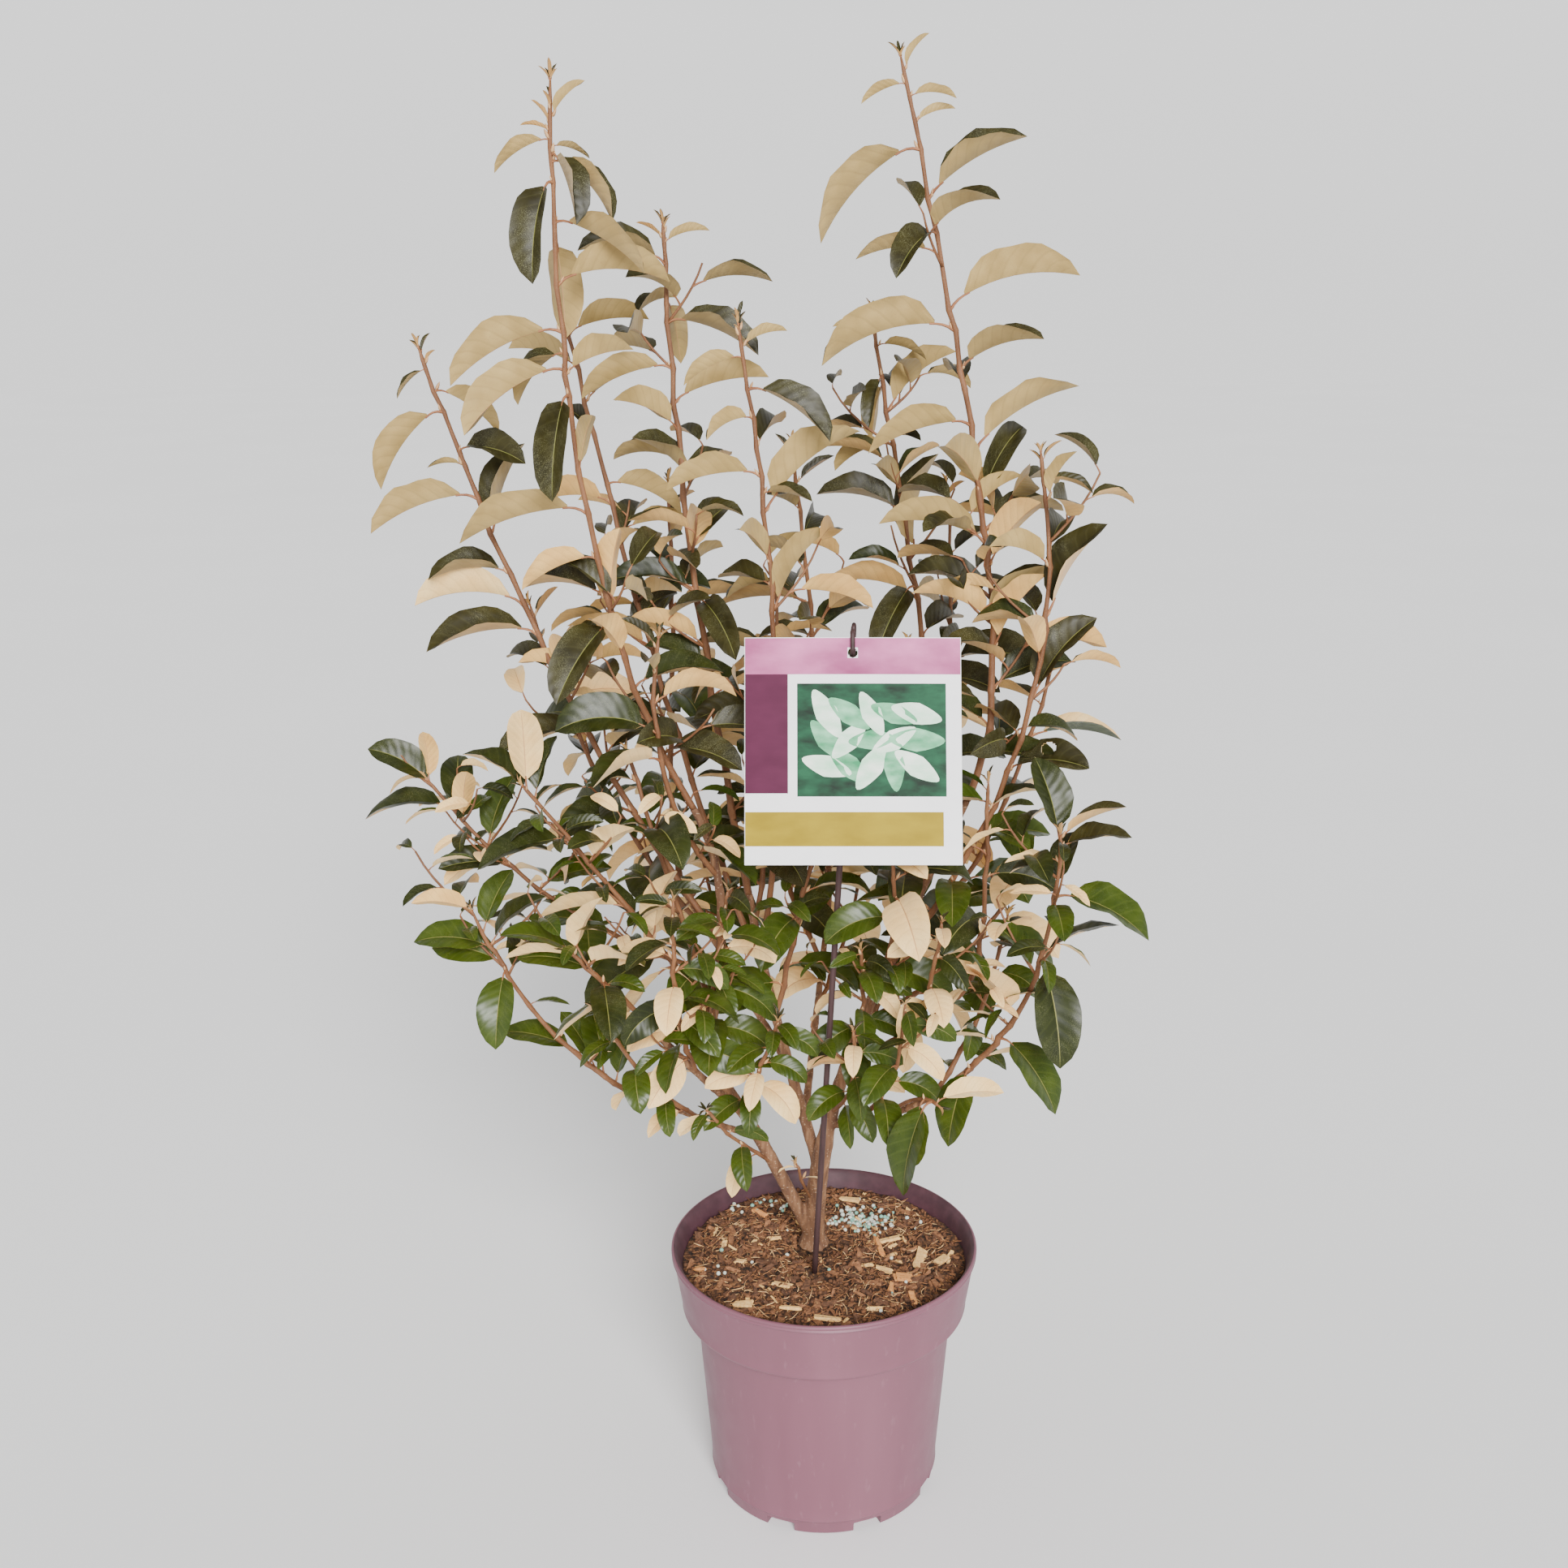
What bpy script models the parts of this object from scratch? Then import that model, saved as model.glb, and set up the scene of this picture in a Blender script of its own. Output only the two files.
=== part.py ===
"""Potted broad-leaved evergreen shrub: a round nursery pot with its filling, a forked trunk with boughs,
leafy shoots, and a plain label card on a stick. Metres, +Z up, origin at the middle of the pot's underside,
the label's face towards -Y."""

import math
import random
from collections import namedtuple

import bmesh
import bpy
from mathutils import Matrix, Vector
from mathutils.bvhtree import BVHTree

# Clearance between neighbouring solids
GAP = 0.0003

# Pot: an outer diameter of 230 mm at the rim, a stepped collar and a short foot
POT_HEIGHT = 0.1935
RIM_RADIUS = 0.115
RIM_LIP_HEIGHT = 0.005
COLLAR_TOP_RADIUS = 0.1132
COLLAR_FOOT_RADIUS = 0.1073
COLLAR_FOOT_HEIGHT = 0.1474
BODY_TOP_RADIUS = 0.0962
BODY_TOP_HEIGHT = 0.141
BODY_FOOT_RADIUS = 0.0862
BODY_FOOT_HEIGHT = 0.0105
FOOT_RADIUS = 0.0848
FLOOR_THICKNESS = 0.010
WALL = 0.0020
POT_SIDES = 40
NOTCH_COUNT = 8
NOTCH_WIDTH = 0.022
NOTCH_HEIGHT = 0.0075
NOTCH_DEPTH = 0.009

# Filling, with a shallow hollow round the trunk
SOIL_HEIGHT = 0.1835
SOIL_HOLLOW_DEPTH = 0.0035
SOIL_HOLLOW_RADIUS = 0.016
SOIL_RISE_RADIUS = 0.038
SOIL_EDGE_DROP = 0.003
SOIL_SIDES = 30

# Trunk, from a flat cut on the filling to its fork
TRUNK_FOOT = Vector((-0.008, 0.018, SOIL_HEIGHT - SOIL_HOLLOW_DEPTH + GAP))
TRUNK_TIP = Vector((0.0, 0.004, 0.272))
TRUNK_KNEE = Vector((-0.006, 0.008, 0.235))
TRUNK_RADII = (0.0088, 0.0070, 1.0)
FLARE_RADIUS = 0.0130
FLARE_HEIGHT = 0.016

# Tubes: stations along each limb, and its sides
LIMB_STATIONS = 8
LIMB_SIDES = 7
TWIG_STATIONS = 9
SHORT_TWIG_STATIONS = 6
SHORT_TWIG = 0.2
TWIG_SIDES = 3
TWIG_TIP_RADIUS = 0.0011
SHOOT_TAPER = 0.55
SEAT_STEP = 0.001
SEAT_HALVINGS = 5
FOOT_REACH = 0.02
FOOT_SAMPLES = 24

# Leaves: shares of the whole length from the twig's axis to the tip
PETIOLE_SHARE = 0.15
LEAF_HALF_WIDTH = 0.225
LEAF_THICKNESS = 0.013
LEAF_THINNEST = 0.0005
LEAF_ROOT = 0.0009
ROOT_IN_TWIG = 0.43
TIP_SHARE = 0.93
DEEP_SHARE = 0.24
LEAST_TIP_BLADE = 24
LEAST_BLADE = 37
SAME_PLACE = 0.00001
LEAF_CLEARANCE = 0.0006
SPIRAL_TURN = math.radians(137.5)
LOW_CROWN = 0.42
HIGH_CROWN = 0.70
LOWEST_LEAF = SOIL_HEIGHT + 0.045

# Label: a card leaning back against the shoots, hooked on a stick
STICK_FOOT = Vector((-0.007, -0.028, SOIL_HEIGHT + 0.0004))
STICK_TOP = Vector((0.0195, -0.0555, 0.6690))
STICK_RADIUS = 0.0022
CARD_TOP = Vector((0.0185, -0.0610, 0.6680))
CARD_FOOT = Vector((0.0190, -0.1120, 0.5300))
CARD_WIDTH = 0.140
CARD_THICKNESS = 0.0008
CARD_HOLE_DROP = 0.010
CARD_HOLE_RADIUS = 0.0032
HOOK_RADIUS = 0.0016

# A bough leaves its carrier at a share of the carrier's length, bends at its knee and ends at its tip
Bough = namedtuple("Bough", "name carrier at knee tip foot_radius tip_radius")
BOUGHS = (
    Bough("stem_left", "trunk", 0.06, (-0.046, -0.006, 0.285), (-0.074, -0.020, 0.335), 0.0054, 0.0045),
    Bough("bough_right", "trunk", 1.00, (0.032, 0.000, 0.400), (0.100, 0.000, 0.540), 0.0058, 0.0030),
    Bough("bough_centre", "trunk", 0.80, (-0.042, 0.042, 0.370), (-0.055, 0.030, 0.460), 0.0048, 0.0031),
    Bough("bough_left", "stem_left", 1.00, (-0.045, -0.012, 0.450), (-0.090, -0.020, 0.540), 0.0043, 0.0028),
    Bough("bough_left_out", "stem_left", 0.78, (-0.100, -0.052, 0.366), (-0.128, -0.062, 0.405), 0.0031, 0.0026),
    Bough("bough_low_left", "stem_left", 0.66, (-0.090, -0.018, 0.303), (-0.131, -0.030, 0.328), 0.0027, 0.0023),
    Bough("bough_low_right", "bough_right", 0.10, (0.060, -0.024, 0.305), (0.100, -0.042, 0.352), 0.0030, 0.0025),
    Bough("bough_right_out", "bough_right", 0.34, (0.068, -0.006, 0.368), (0.094, -0.010, 0.394), 0.0029, 0.0025),
    Bough("bough_back_right", "bough_right", 0.22, (0.048, 0.056, 0.380), (0.074, 0.082, 0.440), 0.0035, 0.0026),
    Bough("bough_back_left", "bough_centre", 0.42, (-0.064, 0.078, 0.370), (-0.102, 0.104, 0.425), 0.0034, 0.0026),
    Bough("bough_back", "bough_centre", 0.22, (-0.006, 0.074, 0.345), (0.002, 0.112, 0.405), 0.0032, 0.0025),
)

# Leaves of the eight tall shoots, as the photograph shows them: place along the shoot, compass side in degrees
# (0 right, 90 away, 180 left, 270 near), slope of the blade, its length in millimetres, and the roll that turns
# its underside to the front
RIGHT_TALL = (
    (0.99, 10, 52, 24, 20), (0.98, 185, -27, 27, 25), (0.97, 350, -7, 27, 25), (0.95, 10, 15, 25, 40),
    (0.93, 190, -48, 76, 12), (0.89, 345, 27, 62, -10), (0.86, 240, -35, 50, -25), (0.83, 232, -12, 52, 10),
    (0.79, 5, 9, 77, 25), (0.77, 188, -20, 80, 22), (0.73, 325, 14, 58, -8), (0.71, 100, 5, 45, 0),
    (0.67, 195, -18, 64, 25), (0.64, 0, 28, 70, 22), (0.59, 238, 30, 55, 30), (0.58, 55, 40, 58, -40),
    (0.54, 20, 4, 55, -10), (0.52, 182, 6, 66, 25), (0.49, 318, 45, 55, 35), (0.44, 162, 8, 54, -30),
    (0.40, 200, 18, 56, 25), (0.36, 325, 52, 58, 22), (0.28, 20, 10, 55, -25), (0.20, 140, 5, 52, -10),
    (0.13, 330, -5, 52, -30),
)
LEFT_TALL = (
    (0.985, 120, 60, 10, 0), (0.98, 250, 50, 12, 0), (0.975, 0, 42, 26, 20), (0.97, 180, 50, 16, 10),
    (0.965, 175, 8, 17, 20), (0.96, 190, -34, 35, 20), (0.955, 335, -20, 24, 10), (0.95, 300, -60, 46, 20),
    (0.945, 340, -48, 47, 15), (0.93, 250, -72, 60, 0), (0.90, 350, -33, 56, 15), (0.885, 90, -72, 58, 0),
    (0.85, 10, -4, 62, 25), (0.81, 190, -30, 68, 25), (0.79, 150, -45, 46, -30), (0.775, 185, -37, 68, 25),
    (0.77, 335, 14, 46, 35), (0.75, 258, -70, 64, -15), (0.67, 300, 55, 38, 20), (0.62, 185, -18, 74, 25),
    (0.56, 195, -25, 46, 25), (0.52, 190, -14, 52, 20), (0.50, 160, -2, 55, -30), (0.48, 310, 76, 50, 15),
    (0.46, 230, -45, 62, -25), (0.40, 240, 38, 42, 20), (0.34, 20, 0, 55, -20), (0.26, 170, -5, 55, 15),
    (0.18, 330, -10, 55, -25),
)
LEFT_DARK = (
    (0.99, 60, 50, 12, 0), (0.985, 240, 45, 12, 0), (0.96, 20, 5, 50, 25), (0.93, 170, 10, 46, 20),
    (0.90, 30, 20, 48, -15), (0.87, 130, 20, 34, -30), (0.82, 350, -25, 52, 30), (0.80, 190, -5, 50, 20),
    (0.76, 70, 20, 44, 0), (0.70, 150, 5, 44, -25), (0.69, 320, 10, 40, 20), (0.63, 195, 14, 55, 25),
    (0.57, 20, -5, 55, -15), (0.51, 220, -5, 52, -10), (0.44, 80, 0, 50, 0), (0.37, 340, -8, 54, -20),
    (0.30, 180, -5, 54, 10), (0.22, 45, -5, 50, -20),
)
CENTRE_LEFT = (
    (0.99, 20, 65, 11, 0), (0.985, 175, 27, 18, 10), (0.98, 5, 11, 28, 25), (0.96, 200, 3, 52, -22),
    (0.92, 80, -62, 44, 0), (0.90, 350, -24, 57, -14), (0.85, 188, -23, 56, 25), (0.81, 8, 10, 58, 30),
    (0.78, 218, 20, 46, 40), (0.74, 160, -5, 46, 0), (0.70, 50, 20, 50, -10), (0.62, 280, 45, 44, 25),
    (0.57, 185, 4, 54, -28), (0.56, 305, -37, 56, -35), (0.49, 190, 16, 50, 25), (0.46, 165, 10, 42, -28),
    (0.41, 25, 0, 54, 15), (0.35, 205, -8, 52, -15), (0.28, 120, -5, 50, 0), (0.20, 340, -10, 52, -20),
)
CENTRE = (
    (0.995, 60, 75, 17, 0), (0.99, 200, 60, 8, 0), (0.98, 10, 14, 28, 25), (0.97, 190, -28, 38, 30),
    (0.94, 345, -36, 56, -30), (0.91, 228, -20, 38, 35), (0.88, 70, 10, 46, 0), (0.85, 185, -13, 56, 28),
    (0.83, 330, -8, 34, 0), (0.81, 10, 36, 72, 25), (0.78, 182, 2, 62, -30), (0.75, 240, 30, 44, 25),
    (0.72, 150, -2, 40, -25), (0.69, 20, 50, 58, 20), (0.67, 300, 70, 58, 15), (0.60, 40, 0, 52, -20),
    (0.53, 200, 0, 54, -15), (0.45, 100, -5, 50, 0), (0.37, 0, -5, 52, -10), (0.28, 200, -5, 52, 0),
)
OUTER_LEFT = (
    (0.995, 60, 50, 14, 0), (0.99, 150, 45, 14, 0), (0.985, 330, 40, 12, 0), (0.98, 205, -47, 24, -10),
    (0.96, 350, -38, 44, 28), (0.94, 195, -55, 58, 22), (0.90, 335, -12, 46, -32), (0.885, 210, -5, 22, 20),
    (0.85, 185, -23, 66, 25), (0.81, 45, 60, 56, 15), (0.76, 188, -8, 48, -12), (0.72, 182, -6, 66, 25),
    (0.68, 190, -12, 66, -10), (0.64, 305, 20, 40, 25), (0.58, 60, 0, 50, -20), (0.52, 200, -12, 56, -15),
    (0.45, 100, -8, 50, 0), (0.37, 220, -12, 54, -20), (0.29, 20, -10, 50, -10),
)
RIGHT_BACK = (
    (0.995, 30, 53, 13, 0), (0.99, 160, 60, 9, 0), (0.98, 178, 2, 26, 25), (0.965, 350, -20, 31, 25),
    (0.93, 250, -55, 38, 0), (0.92, 100, -58, 44, 0), (0.89, 15, 36, 55, 30), (0.85, 170, -30, 40, 20),
    (0.79, 240, 25, 42, 30), (0.76, 175, 8, 56, -30), (0.70, 20, 74, 66, 20), (0.66, 230, -48, 58, -40),
    (0.64, 180, 4, 62, 25), (0.58, 60, 0, 50, -15), (0.50, 330, -5, 52, -25), (0.42, 150, -5, 52, 0),
    (0.34, 20, -5, 52, -20), (0.25, 100, -8, 50, 0),
)
RIGHT_FRONT = (
    (0.99, 10, 42, 16, 0), (0.985, 150, 40, 12, 0), (0.98, 165, -28, 22, 20), (0.965, 345, -18, 29, -25),
    (0.94, 320, 55, 34, 10), (0.885, 5, 48, 57, 20), (0.87, 70, 10, 50, -20), (0.85, 205, 15, 44, 28),
    (0.78, 5, 56, 62, -10), (0.76, 150, -5, 46, -25), (0.71, 245, 40, 46, 25), (0.65, 10, 48, 60, -22),
    (0.58, 120, 0, 50, 0), (0.52, 330, 5, 54, -28), (0.45, 190, -5, 52, -12), (0.37, 20, -5, 52, -20),
    (0.28, 270, -20, 50, -10), (0.20, 160, -5, 50, 0),
)
LOW_RIGHT = (
    (0.995, 350, 27, 42, 15), (0.99, 125, 58, 50, 0), (0.97, 0, 5, 42, -12), (0.94, 182, -4, 32, 30),
    (0.90, 182, 16, 48, -35), (0.87, 60, 35, 42, 0), (0.85, 348, -27, 60, -22), (0.83, 272, -22, 36, 0),
    (0.66, 5, 19, 50, 12), (0.645, 292, -66, 66, 0), (0.60, 150, 38, 42, 0), (0.41, 212, 46, 54, 22),
    (0.36, 185, 12, 32, 15), (0.28, 318, -48, 58, -8), (0.25, 170, -5, 34, 20), (0.10, 8, -8, 50, 30),
    (0.04, 242, -62, 52, 0),
)
FAR_LEFT = (
    (0.995, 265, 78, 36, 0), (0.985, 180, 27, 48, -40), (0.93, 185, -12, 58, -15), (0.915, 100, 35, 48, 0),
    (0.90, 300, 65, 40, 0), (0.83, 60, 50, 50, 0), (0.80, 190, -32, 40, 60), (0.76, 200, 0, 48, -30),
    (0.68, 20, 5, 50, -20), (0.62, 180, -8, 52, 25), (0.54, 280, -20, 50, 0), (0.46, 160, 0, 52, -25),
    (0.37, 340, -5, 50, 20), (0.28, 200, -8, 52, -15),
)
LOW_LEFT = (
    (0.995, 200, 12, 38, 60), (0.99, 182, 22, 46, -40), (0.94, 60, 45, 42, 0), (0.90, 20, 35, 44, 0),
    (0.88, 180, 0, 50, -35), (0.83, 175, 6, 46, -30), (0.815, 262, -60, 50, 0), (0.80, 60, 20, 40, 0),
    (0.68, 350, 0, 26, 0), (0.52, 30, 50, 14, 0), (0.42, 180, 12, 48, -5), (0.35, 330, 30, 22, 30),
    (0.30, 150, 50, 42, 0), (0.25, 120, 60, 48, 0), (0.18, 45, 60, 42, 0), (0.10, 10, 5, 46, 30),
)
LEFT_REACH = (
    (0.99, 268, 80, 50, 0), (0.98, 170, 25, 46, -15), (0.97, 60, 50, 40, 0), (0.86, 190, -20, 57, -20),
    (0.81, 185, 12, 46, -35), (0.80, 330, 35, 44, 30), (0.64, 195, -6, 54, 35), (0.58, 150, 10, 50, 0),
    (0.55, 182, 22, 54, -38), (0.52, 320, 65, 52, 10), (0.43, 205, -30, 58, -25), (0.38, 200, -55, 60, 40),
    (0.30, 330, 0, 50, -15), (0.22, 180, -5, 48, -20), (0.14, 300, 10, 50, 10),
)
RIGHT_HANGING = (
    (0.58, 250, -72, 62, 6),
    (0.80, 300, -78, 48, -20),
    (0.97, 4, 4, 42, 62),
)
LEFT_MID = (
    (0.99, 200, 18, 46, -20), (0.98, 330, 60, 44, 10), (0.92, 182, -5, 44, 40), (0.82, 320, 10, 50, 30),
    (0.72, 175, 5, 48, -30), (0.60, 285, -30, 48, 0), (0.46, 60, 20, 46, 0), (0.30, 215, -20, 50, 25),
)

# A shoot is one mass of foliage: a twig that bends at its knee, with leaves from foot to tip. Its leaves are
# rows from above, a number, set on a spiral, or a word of sides: Left, Right, Front, Back, and l, r, d, b for
# the diagonals
Shoot = namedtuple("Shoot", "name carrier at knee tip foot_radius leaves leaf_length seed")
SHOOTS = (
    Shoot("shoot_left_tall", "bough_left", 1.00, (-0.172, -0.065, 0.700), (-0.163, -0.060, 1.005),
          0.0027, LEFT_TALL, 0.074, 61),
    Shoot("shoot_right_tall", "bough_right", 1.00, (0.114, 0.000, 0.740), (0.048, 0.000, 1.024),
          0.0029, RIGHT_TALL, 0.078, 12),
    Shoot("shoot_left_dark", "bough_centre", 0.72, (-0.125, 0.060, 0.600), (-0.180, 0.060, 0.885),
          0.0026, LEFT_DARK, 0.070, 13),
    Shoot("shoot_centre_left", "bough_centre", 1.00, (-0.100, 0.020, 0.700), (-0.105, 0.020, 0.925),
          0.0029, CENTRE_LEFT, 0.072, 14),
    Shoot("shoot_centre", "bough_centre", 0.80, (-0.016, -0.006, 0.620), (-0.055, -0.015, 0.862),
          0.0026, CENTRE, 0.070, 15),
    Shoot("shoot_outer_left", "bough_left", 0.60, (-0.185, -0.010, 0.600), (-0.262, -0.010, 0.848),
          0.0026, OUTER_LEFT, 0.070, 16),
    Shoot("shoot_right_back", "bough_back_right", 1.00, (0.066, 0.062, 0.650), (0.033, 0.050, 0.868),
          0.0026, RIGHT_BACK, 0.066, 17),
    Shoot("shoot_right_front", "bough_right", 0.62, (0.175, -0.040, 0.600), (0.140, -0.030, 0.783),
          0.0026, RIGHT_FRONT, 0.064, 18),
    Shoot("shoot_back_tall", "bough_back", 1.00, (-0.003, 0.102, 0.580), (-0.022, 0.090, 0.775),
          0.0025, 16, 0.074, 19),
    Shoot("shoot_back_right_tall", "bough_back_right", 0.60, (0.108, 0.120, 0.550), (0.090, 0.126, 0.745),
          0.0024, 14, 0.074, 20),
    Shoot("shoot_back_left_tall", "bough_back_left", 1.00, (-0.108, 0.128, 0.560), (-0.115, 0.130, 0.745),
          0.0026, 15, 0.074, 21),
    Shoot("shoot_far_left_back", "bough_back_left", 0.86, (-0.175, 0.100, 0.500), (-0.215, 0.095, 0.660),
          0.0023, 12, 0.072, 22),
    Shoot("shoot_far_right_back", "bough_back_right", 0.64, (0.140, 0.078, 0.480), (0.170, 0.075, 0.640),
          0.0023, 12, 0.069, 23),
    Shoot("shoot_left_reach", "bough_left", 0.32, (-0.118, -0.050, 0.460), (-0.196, -0.080, 0.573),
          0.0025, LEFT_REACH, 0.065, 52),
    Shoot("shoot_left_mid", "bough_left_out", 1.00, (-0.150, -0.078, 0.434), (-0.168, -0.086, 0.459),
          0.0022, LEFT_MID, 0.065, 24),
    Shoot("shoot_far_left", "bough_back_left", 0.62, (-0.205, 0.056, 0.420), (-0.290, 0.060, 0.537),
          0.0022, FAR_LEFT, 0.067, 25),
    Shoot("shoot_low_left", "bough_low_left", 1.00, (-0.202, -0.050, 0.384), (-0.238, -0.060, 0.479),
          0.0022, LOW_LEFT, 0.063, 27),
    Shoot("shoot_front_left", "bough_left_out", 0.52, (-0.104, -0.092, 0.420), (-0.098, -0.104, 0.502),
          0.0021, "lRFLrlRFRL", 0.060, 27),
    Shoot("shoot_low_right", "bough_low_right", 1.00, (0.156, -0.078, 0.430), (0.154, -0.090, 0.542),
          0.0024, LOW_RIGHT, 0.069, 28),
    Shoot("shoot_right_mid", "bough_right_out", 1.00, (0.114, -0.024, 0.460), (0.112, -0.028, 0.560),
          0.0024, "FrLRlFRLrRL", 0.060, 29),
    Shoot("shoot_right_hanging", "bough_low_right", 0.50, (0.064, -0.066, 0.350), (0.078, -0.082, 0.346),
          0.0018, RIGHT_HANGING, 0.060, 130),
    Shoot("shoot_front_right", "bough_right_out", 0.60, (0.074, -0.060, 0.410), (0.078, -0.084, 0.480),
          0.0021, "FrRlFRrLF", 0.058, 31),
    Shoot("shoot_front_centre", "bough_right", 0.36, (0.032, -0.022, 0.385), (0.026, -0.034, 0.440),
          0.0020, "RFrlRFLr", 0.054, 32),
    Shoot("shoot_front_low", "stem_left", 0.84, (-0.046, -0.052, 0.350), (-0.032, -0.060, 0.398),
          0.0020, "lRFrLFRl", 0.054, 33),
    Shoot("shoot_inner_left", "bough_left", 0.34, (-0.104, -0.046, 0.490), (-0.132, -0.040, 0.585),
          0.0023, 10, 0.065, 34),
    Shoot("shoot_inner_centre", "bough_centre", 0.60, (-0.012, 0.014, 0.470), (0.010, -0.004, 0.600),
          0.0023, 11, 0.065, 35),
    Shoot("shoot_inner_right", "bough_right", 0.74, (0.060, -0.018, 0.540), (0.056, -0.020, 0.655),
          0.0023, 10, 0.065, 36),
    Shoot("shoot_low_right_back", "bough_back_right", 0.46, (0.124, 0.062, 0.390), (0.154, 0.070, 0.485),
          0.0022, 11, 0.058, 37),
    Shoot("shoot_low_back", "bough_back", 0.66, (0.024, 0.134, 0.385), (0.032, 0.164, 0.465),
          0.0021, 11, 0.063, 38),
    Shoot("shoot_low_back_left", "bough_back_left", 0.48, (-0.080, 0.130, 0.370), (-0.100, 0.166, 0.455),
          0.0021, 11, 0.063, 39),
    Shoot("shoot_back_mid_left", "bough_back", 0.84, (-0.052, 0.150, 0.460), (-0.046, 0.156, 0.600),
          0.0023, 11, 0.067, 40),
    Shoot("shoot_back_mid_right", "bough_back_right", 0.92, (0.062, 0.142, 0.480), (0.050, 0.154, 0.610),
          0.0023, 11, 0.067, 41),
    Shoot("shoot_low_left_front", "bough_low_left", 0.62, (-0.124, -0.070, 0.350), (-0.152, -0.092, 0.420),
          0.0020, "lRFLrFR", 0.050, 42),
    Shoot("shoot_low_right_mid", "bough_low_right", 0.80, (0.120, -0.008, 0.380), (0.130, -0.006, 0.455),
          0.0021, "BRFLrRb", 0.050, 43),
    Shoot("shoot_front_mid_left", "bough_left", 0.24, (-0.078, -0.056, 0.410), (-0.064, -0.078, 0.500),
          0.0021, "RlFrLRFlR", 0.063, 46),
    Shoot("shoot_front_mid_right", "bough_right", 0.53, (0.056, -0.050, 0.460), (0.044, -0.070, 0.535),
          0.0021, "lRFrLFRrL", 0.063, 47),
    Shoot("shoot_front_low_centre", "bough_right", 0.16, (0.026, -0.046, 0.335), (0.020, -0.070, 0.395),
          0.0018, "RFrlRFL", 0.056, 48),
    Shoot("shoot_front_low_right", "bough_low_right", 0.30, (0.056, -0.070, 0.360), (0.054, -0.094, 0.425),
          0.0018, "rFRlrRF", 0.058, 49),
    Shoot("shoot_inner_back", "bough_centre", 0.90, (-0.030, 0.066, 0.560), (-0.034, 0.070, 0.680),
          0.0023, 12, 0.069, 50),
    Shoot("shoot_inner_mid_left", "bough_left", 0.80, (-0.122, -0.066, 0.570), (-0.106, -0.074, 0.670),
          0.0022, "rLFRlLRFL", 0.069, 51),
    Shoot("twig_stem_left", "stem_left", 0.50, (-0.070, -0.040, 0.300), (-0.082, -0.058, 0.330),
          0.0016, "lFRLl", 0.038, 44),
    Shoot("sprout_foot", "trunk", 0.42, (-0.016, -0.006, 0.245), (-0.020, -0.010, 0.262),
          0.0012, "lRL", 0.020, 45),
)

SIDE_ANGLES = {"R": 0, "b": 45, "B": 90, "d": 135, "L": 180, "l": 225, "F": 270, "r": 315}

MAUVE = (0.42, 0.26, 0.30)
DARK_EARTH = (0.060, 0.032, 0.018)
BARK = (0.250, 0.145, 0.085)
YOUNG_BARK = (0.42, 0.19, 0.10)
LEAF_GREEN = (0.045, 0.115, 0.028)
STICK_BROWN = (0.075, 0.040, 0.050)
CARD_WHITE = (0.85, 0.83, 0.84)


def clear_scene():
    for thing in list(bpy.data.objects):
        bpy.data.objects.remove(thing, do_unlink=True)


def new_collection(name):
    made = bpy.data.collections.new(name)
    bpy.context.scene.collection.children.link(made)
    return made


def material(name, colour, roughness):
    made = bpy.data.materials.new(name)
    made.use_nodes = True
    surface = made.node_tree.nodes["Principled BSDF"]
    surface.inputs["Base Color"].default_value = (*colour, 1.0)
    surface.inputs["Roughness"].default_value = roughness
    surface.inputs["Metallic"].default_value = 0.0
    return made


def add_object(name, data, collection, look=None):
    made = bpy.data.objects.new(name, data)
    collection.objects.link(made)
    if look is not None:
        data.materials.append(look)
    return made


def mesh_of(thing):
    """The object's evaluated mesh, with a curve's caps welded to its sides."""
    graph = bpy.context.evaluated_depsgraph_get()
    data = bpy.data.meshes.new_from_object(thing.evaluated_get(graph))
    shape = bmesh.new()
    shape.from_mesh(data)
    bmesh.ops.remove_doubles(shape, verts=shape.verts, dist=1e-6)
    bmesh.ops.recalc_face_normals(shape, faces=shape.faces)
    shape.to_mesh(data)
    shape.free()
    return data


def bvh_of(meshes):
    """One search tree over the faces of several meshes."""
    points = []
    faces = []
    for data in meshes:
        first = len(points)
        points.extend(v.co.copy() for v in data.vertices)
        faces.extend([first + i for i in face.vertices] for face in data.polygons)
    return BVHTree.FromPolygons(points, faces)


# Turned shapes


def turned(name, profile, sides, collection, look):
    """A profile of (radius, height) points, turned round the Z axis."""
    data = bpy.data.meshes.new(name)
    edges = [(i, i + 1) for i in range(len(profile) - 1)]
    data.from_pydata([(r, 0.0, z) for r, z in profile], edges, [])
    made = add_object(name, data, collection, look)
    screw = made.modifiers.new("turn", "SCREW")
    screw.steps = sides
    screw.render_steps = sides
    screw.use_merge_vertices = True
    screw.merge_threshold = 0.00001
    return made


def arc(centre_r, centre_z, radius, start, end, steps):
    """Points of a circular fillet in the profile plane, angles in degrees."""
    points = []
    for i in range(steps + 1):
        angle = math.radians(start + (end - start) * i / steps)
        points.append((centre_r + radius * math.cos(angle), centre_z + radius * math.sin(angle)))
    return points


def wall_radius(height):
    """Inner radius of the pot at a height above its floor."""
    if height >= BODY_TOP_HEIGHT:
        share = (height - BODY_TOP_HEIGHT) / (POT_HEIGHT - BODY_TOP_HEIGHT)
        outer = BODY_TOP_RADIUS + share * (COLLAR_TOP_RADIUS - BODY_TOP_RADIUS)
    else:
        share = height / BODY_TOP_HEIGHT
        outer = BODY_FOOT_RADIUS + share * (BODY_TOP_RADIUS - BODY_FOOT_RADIUS)
    return outer - WALL


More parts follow.
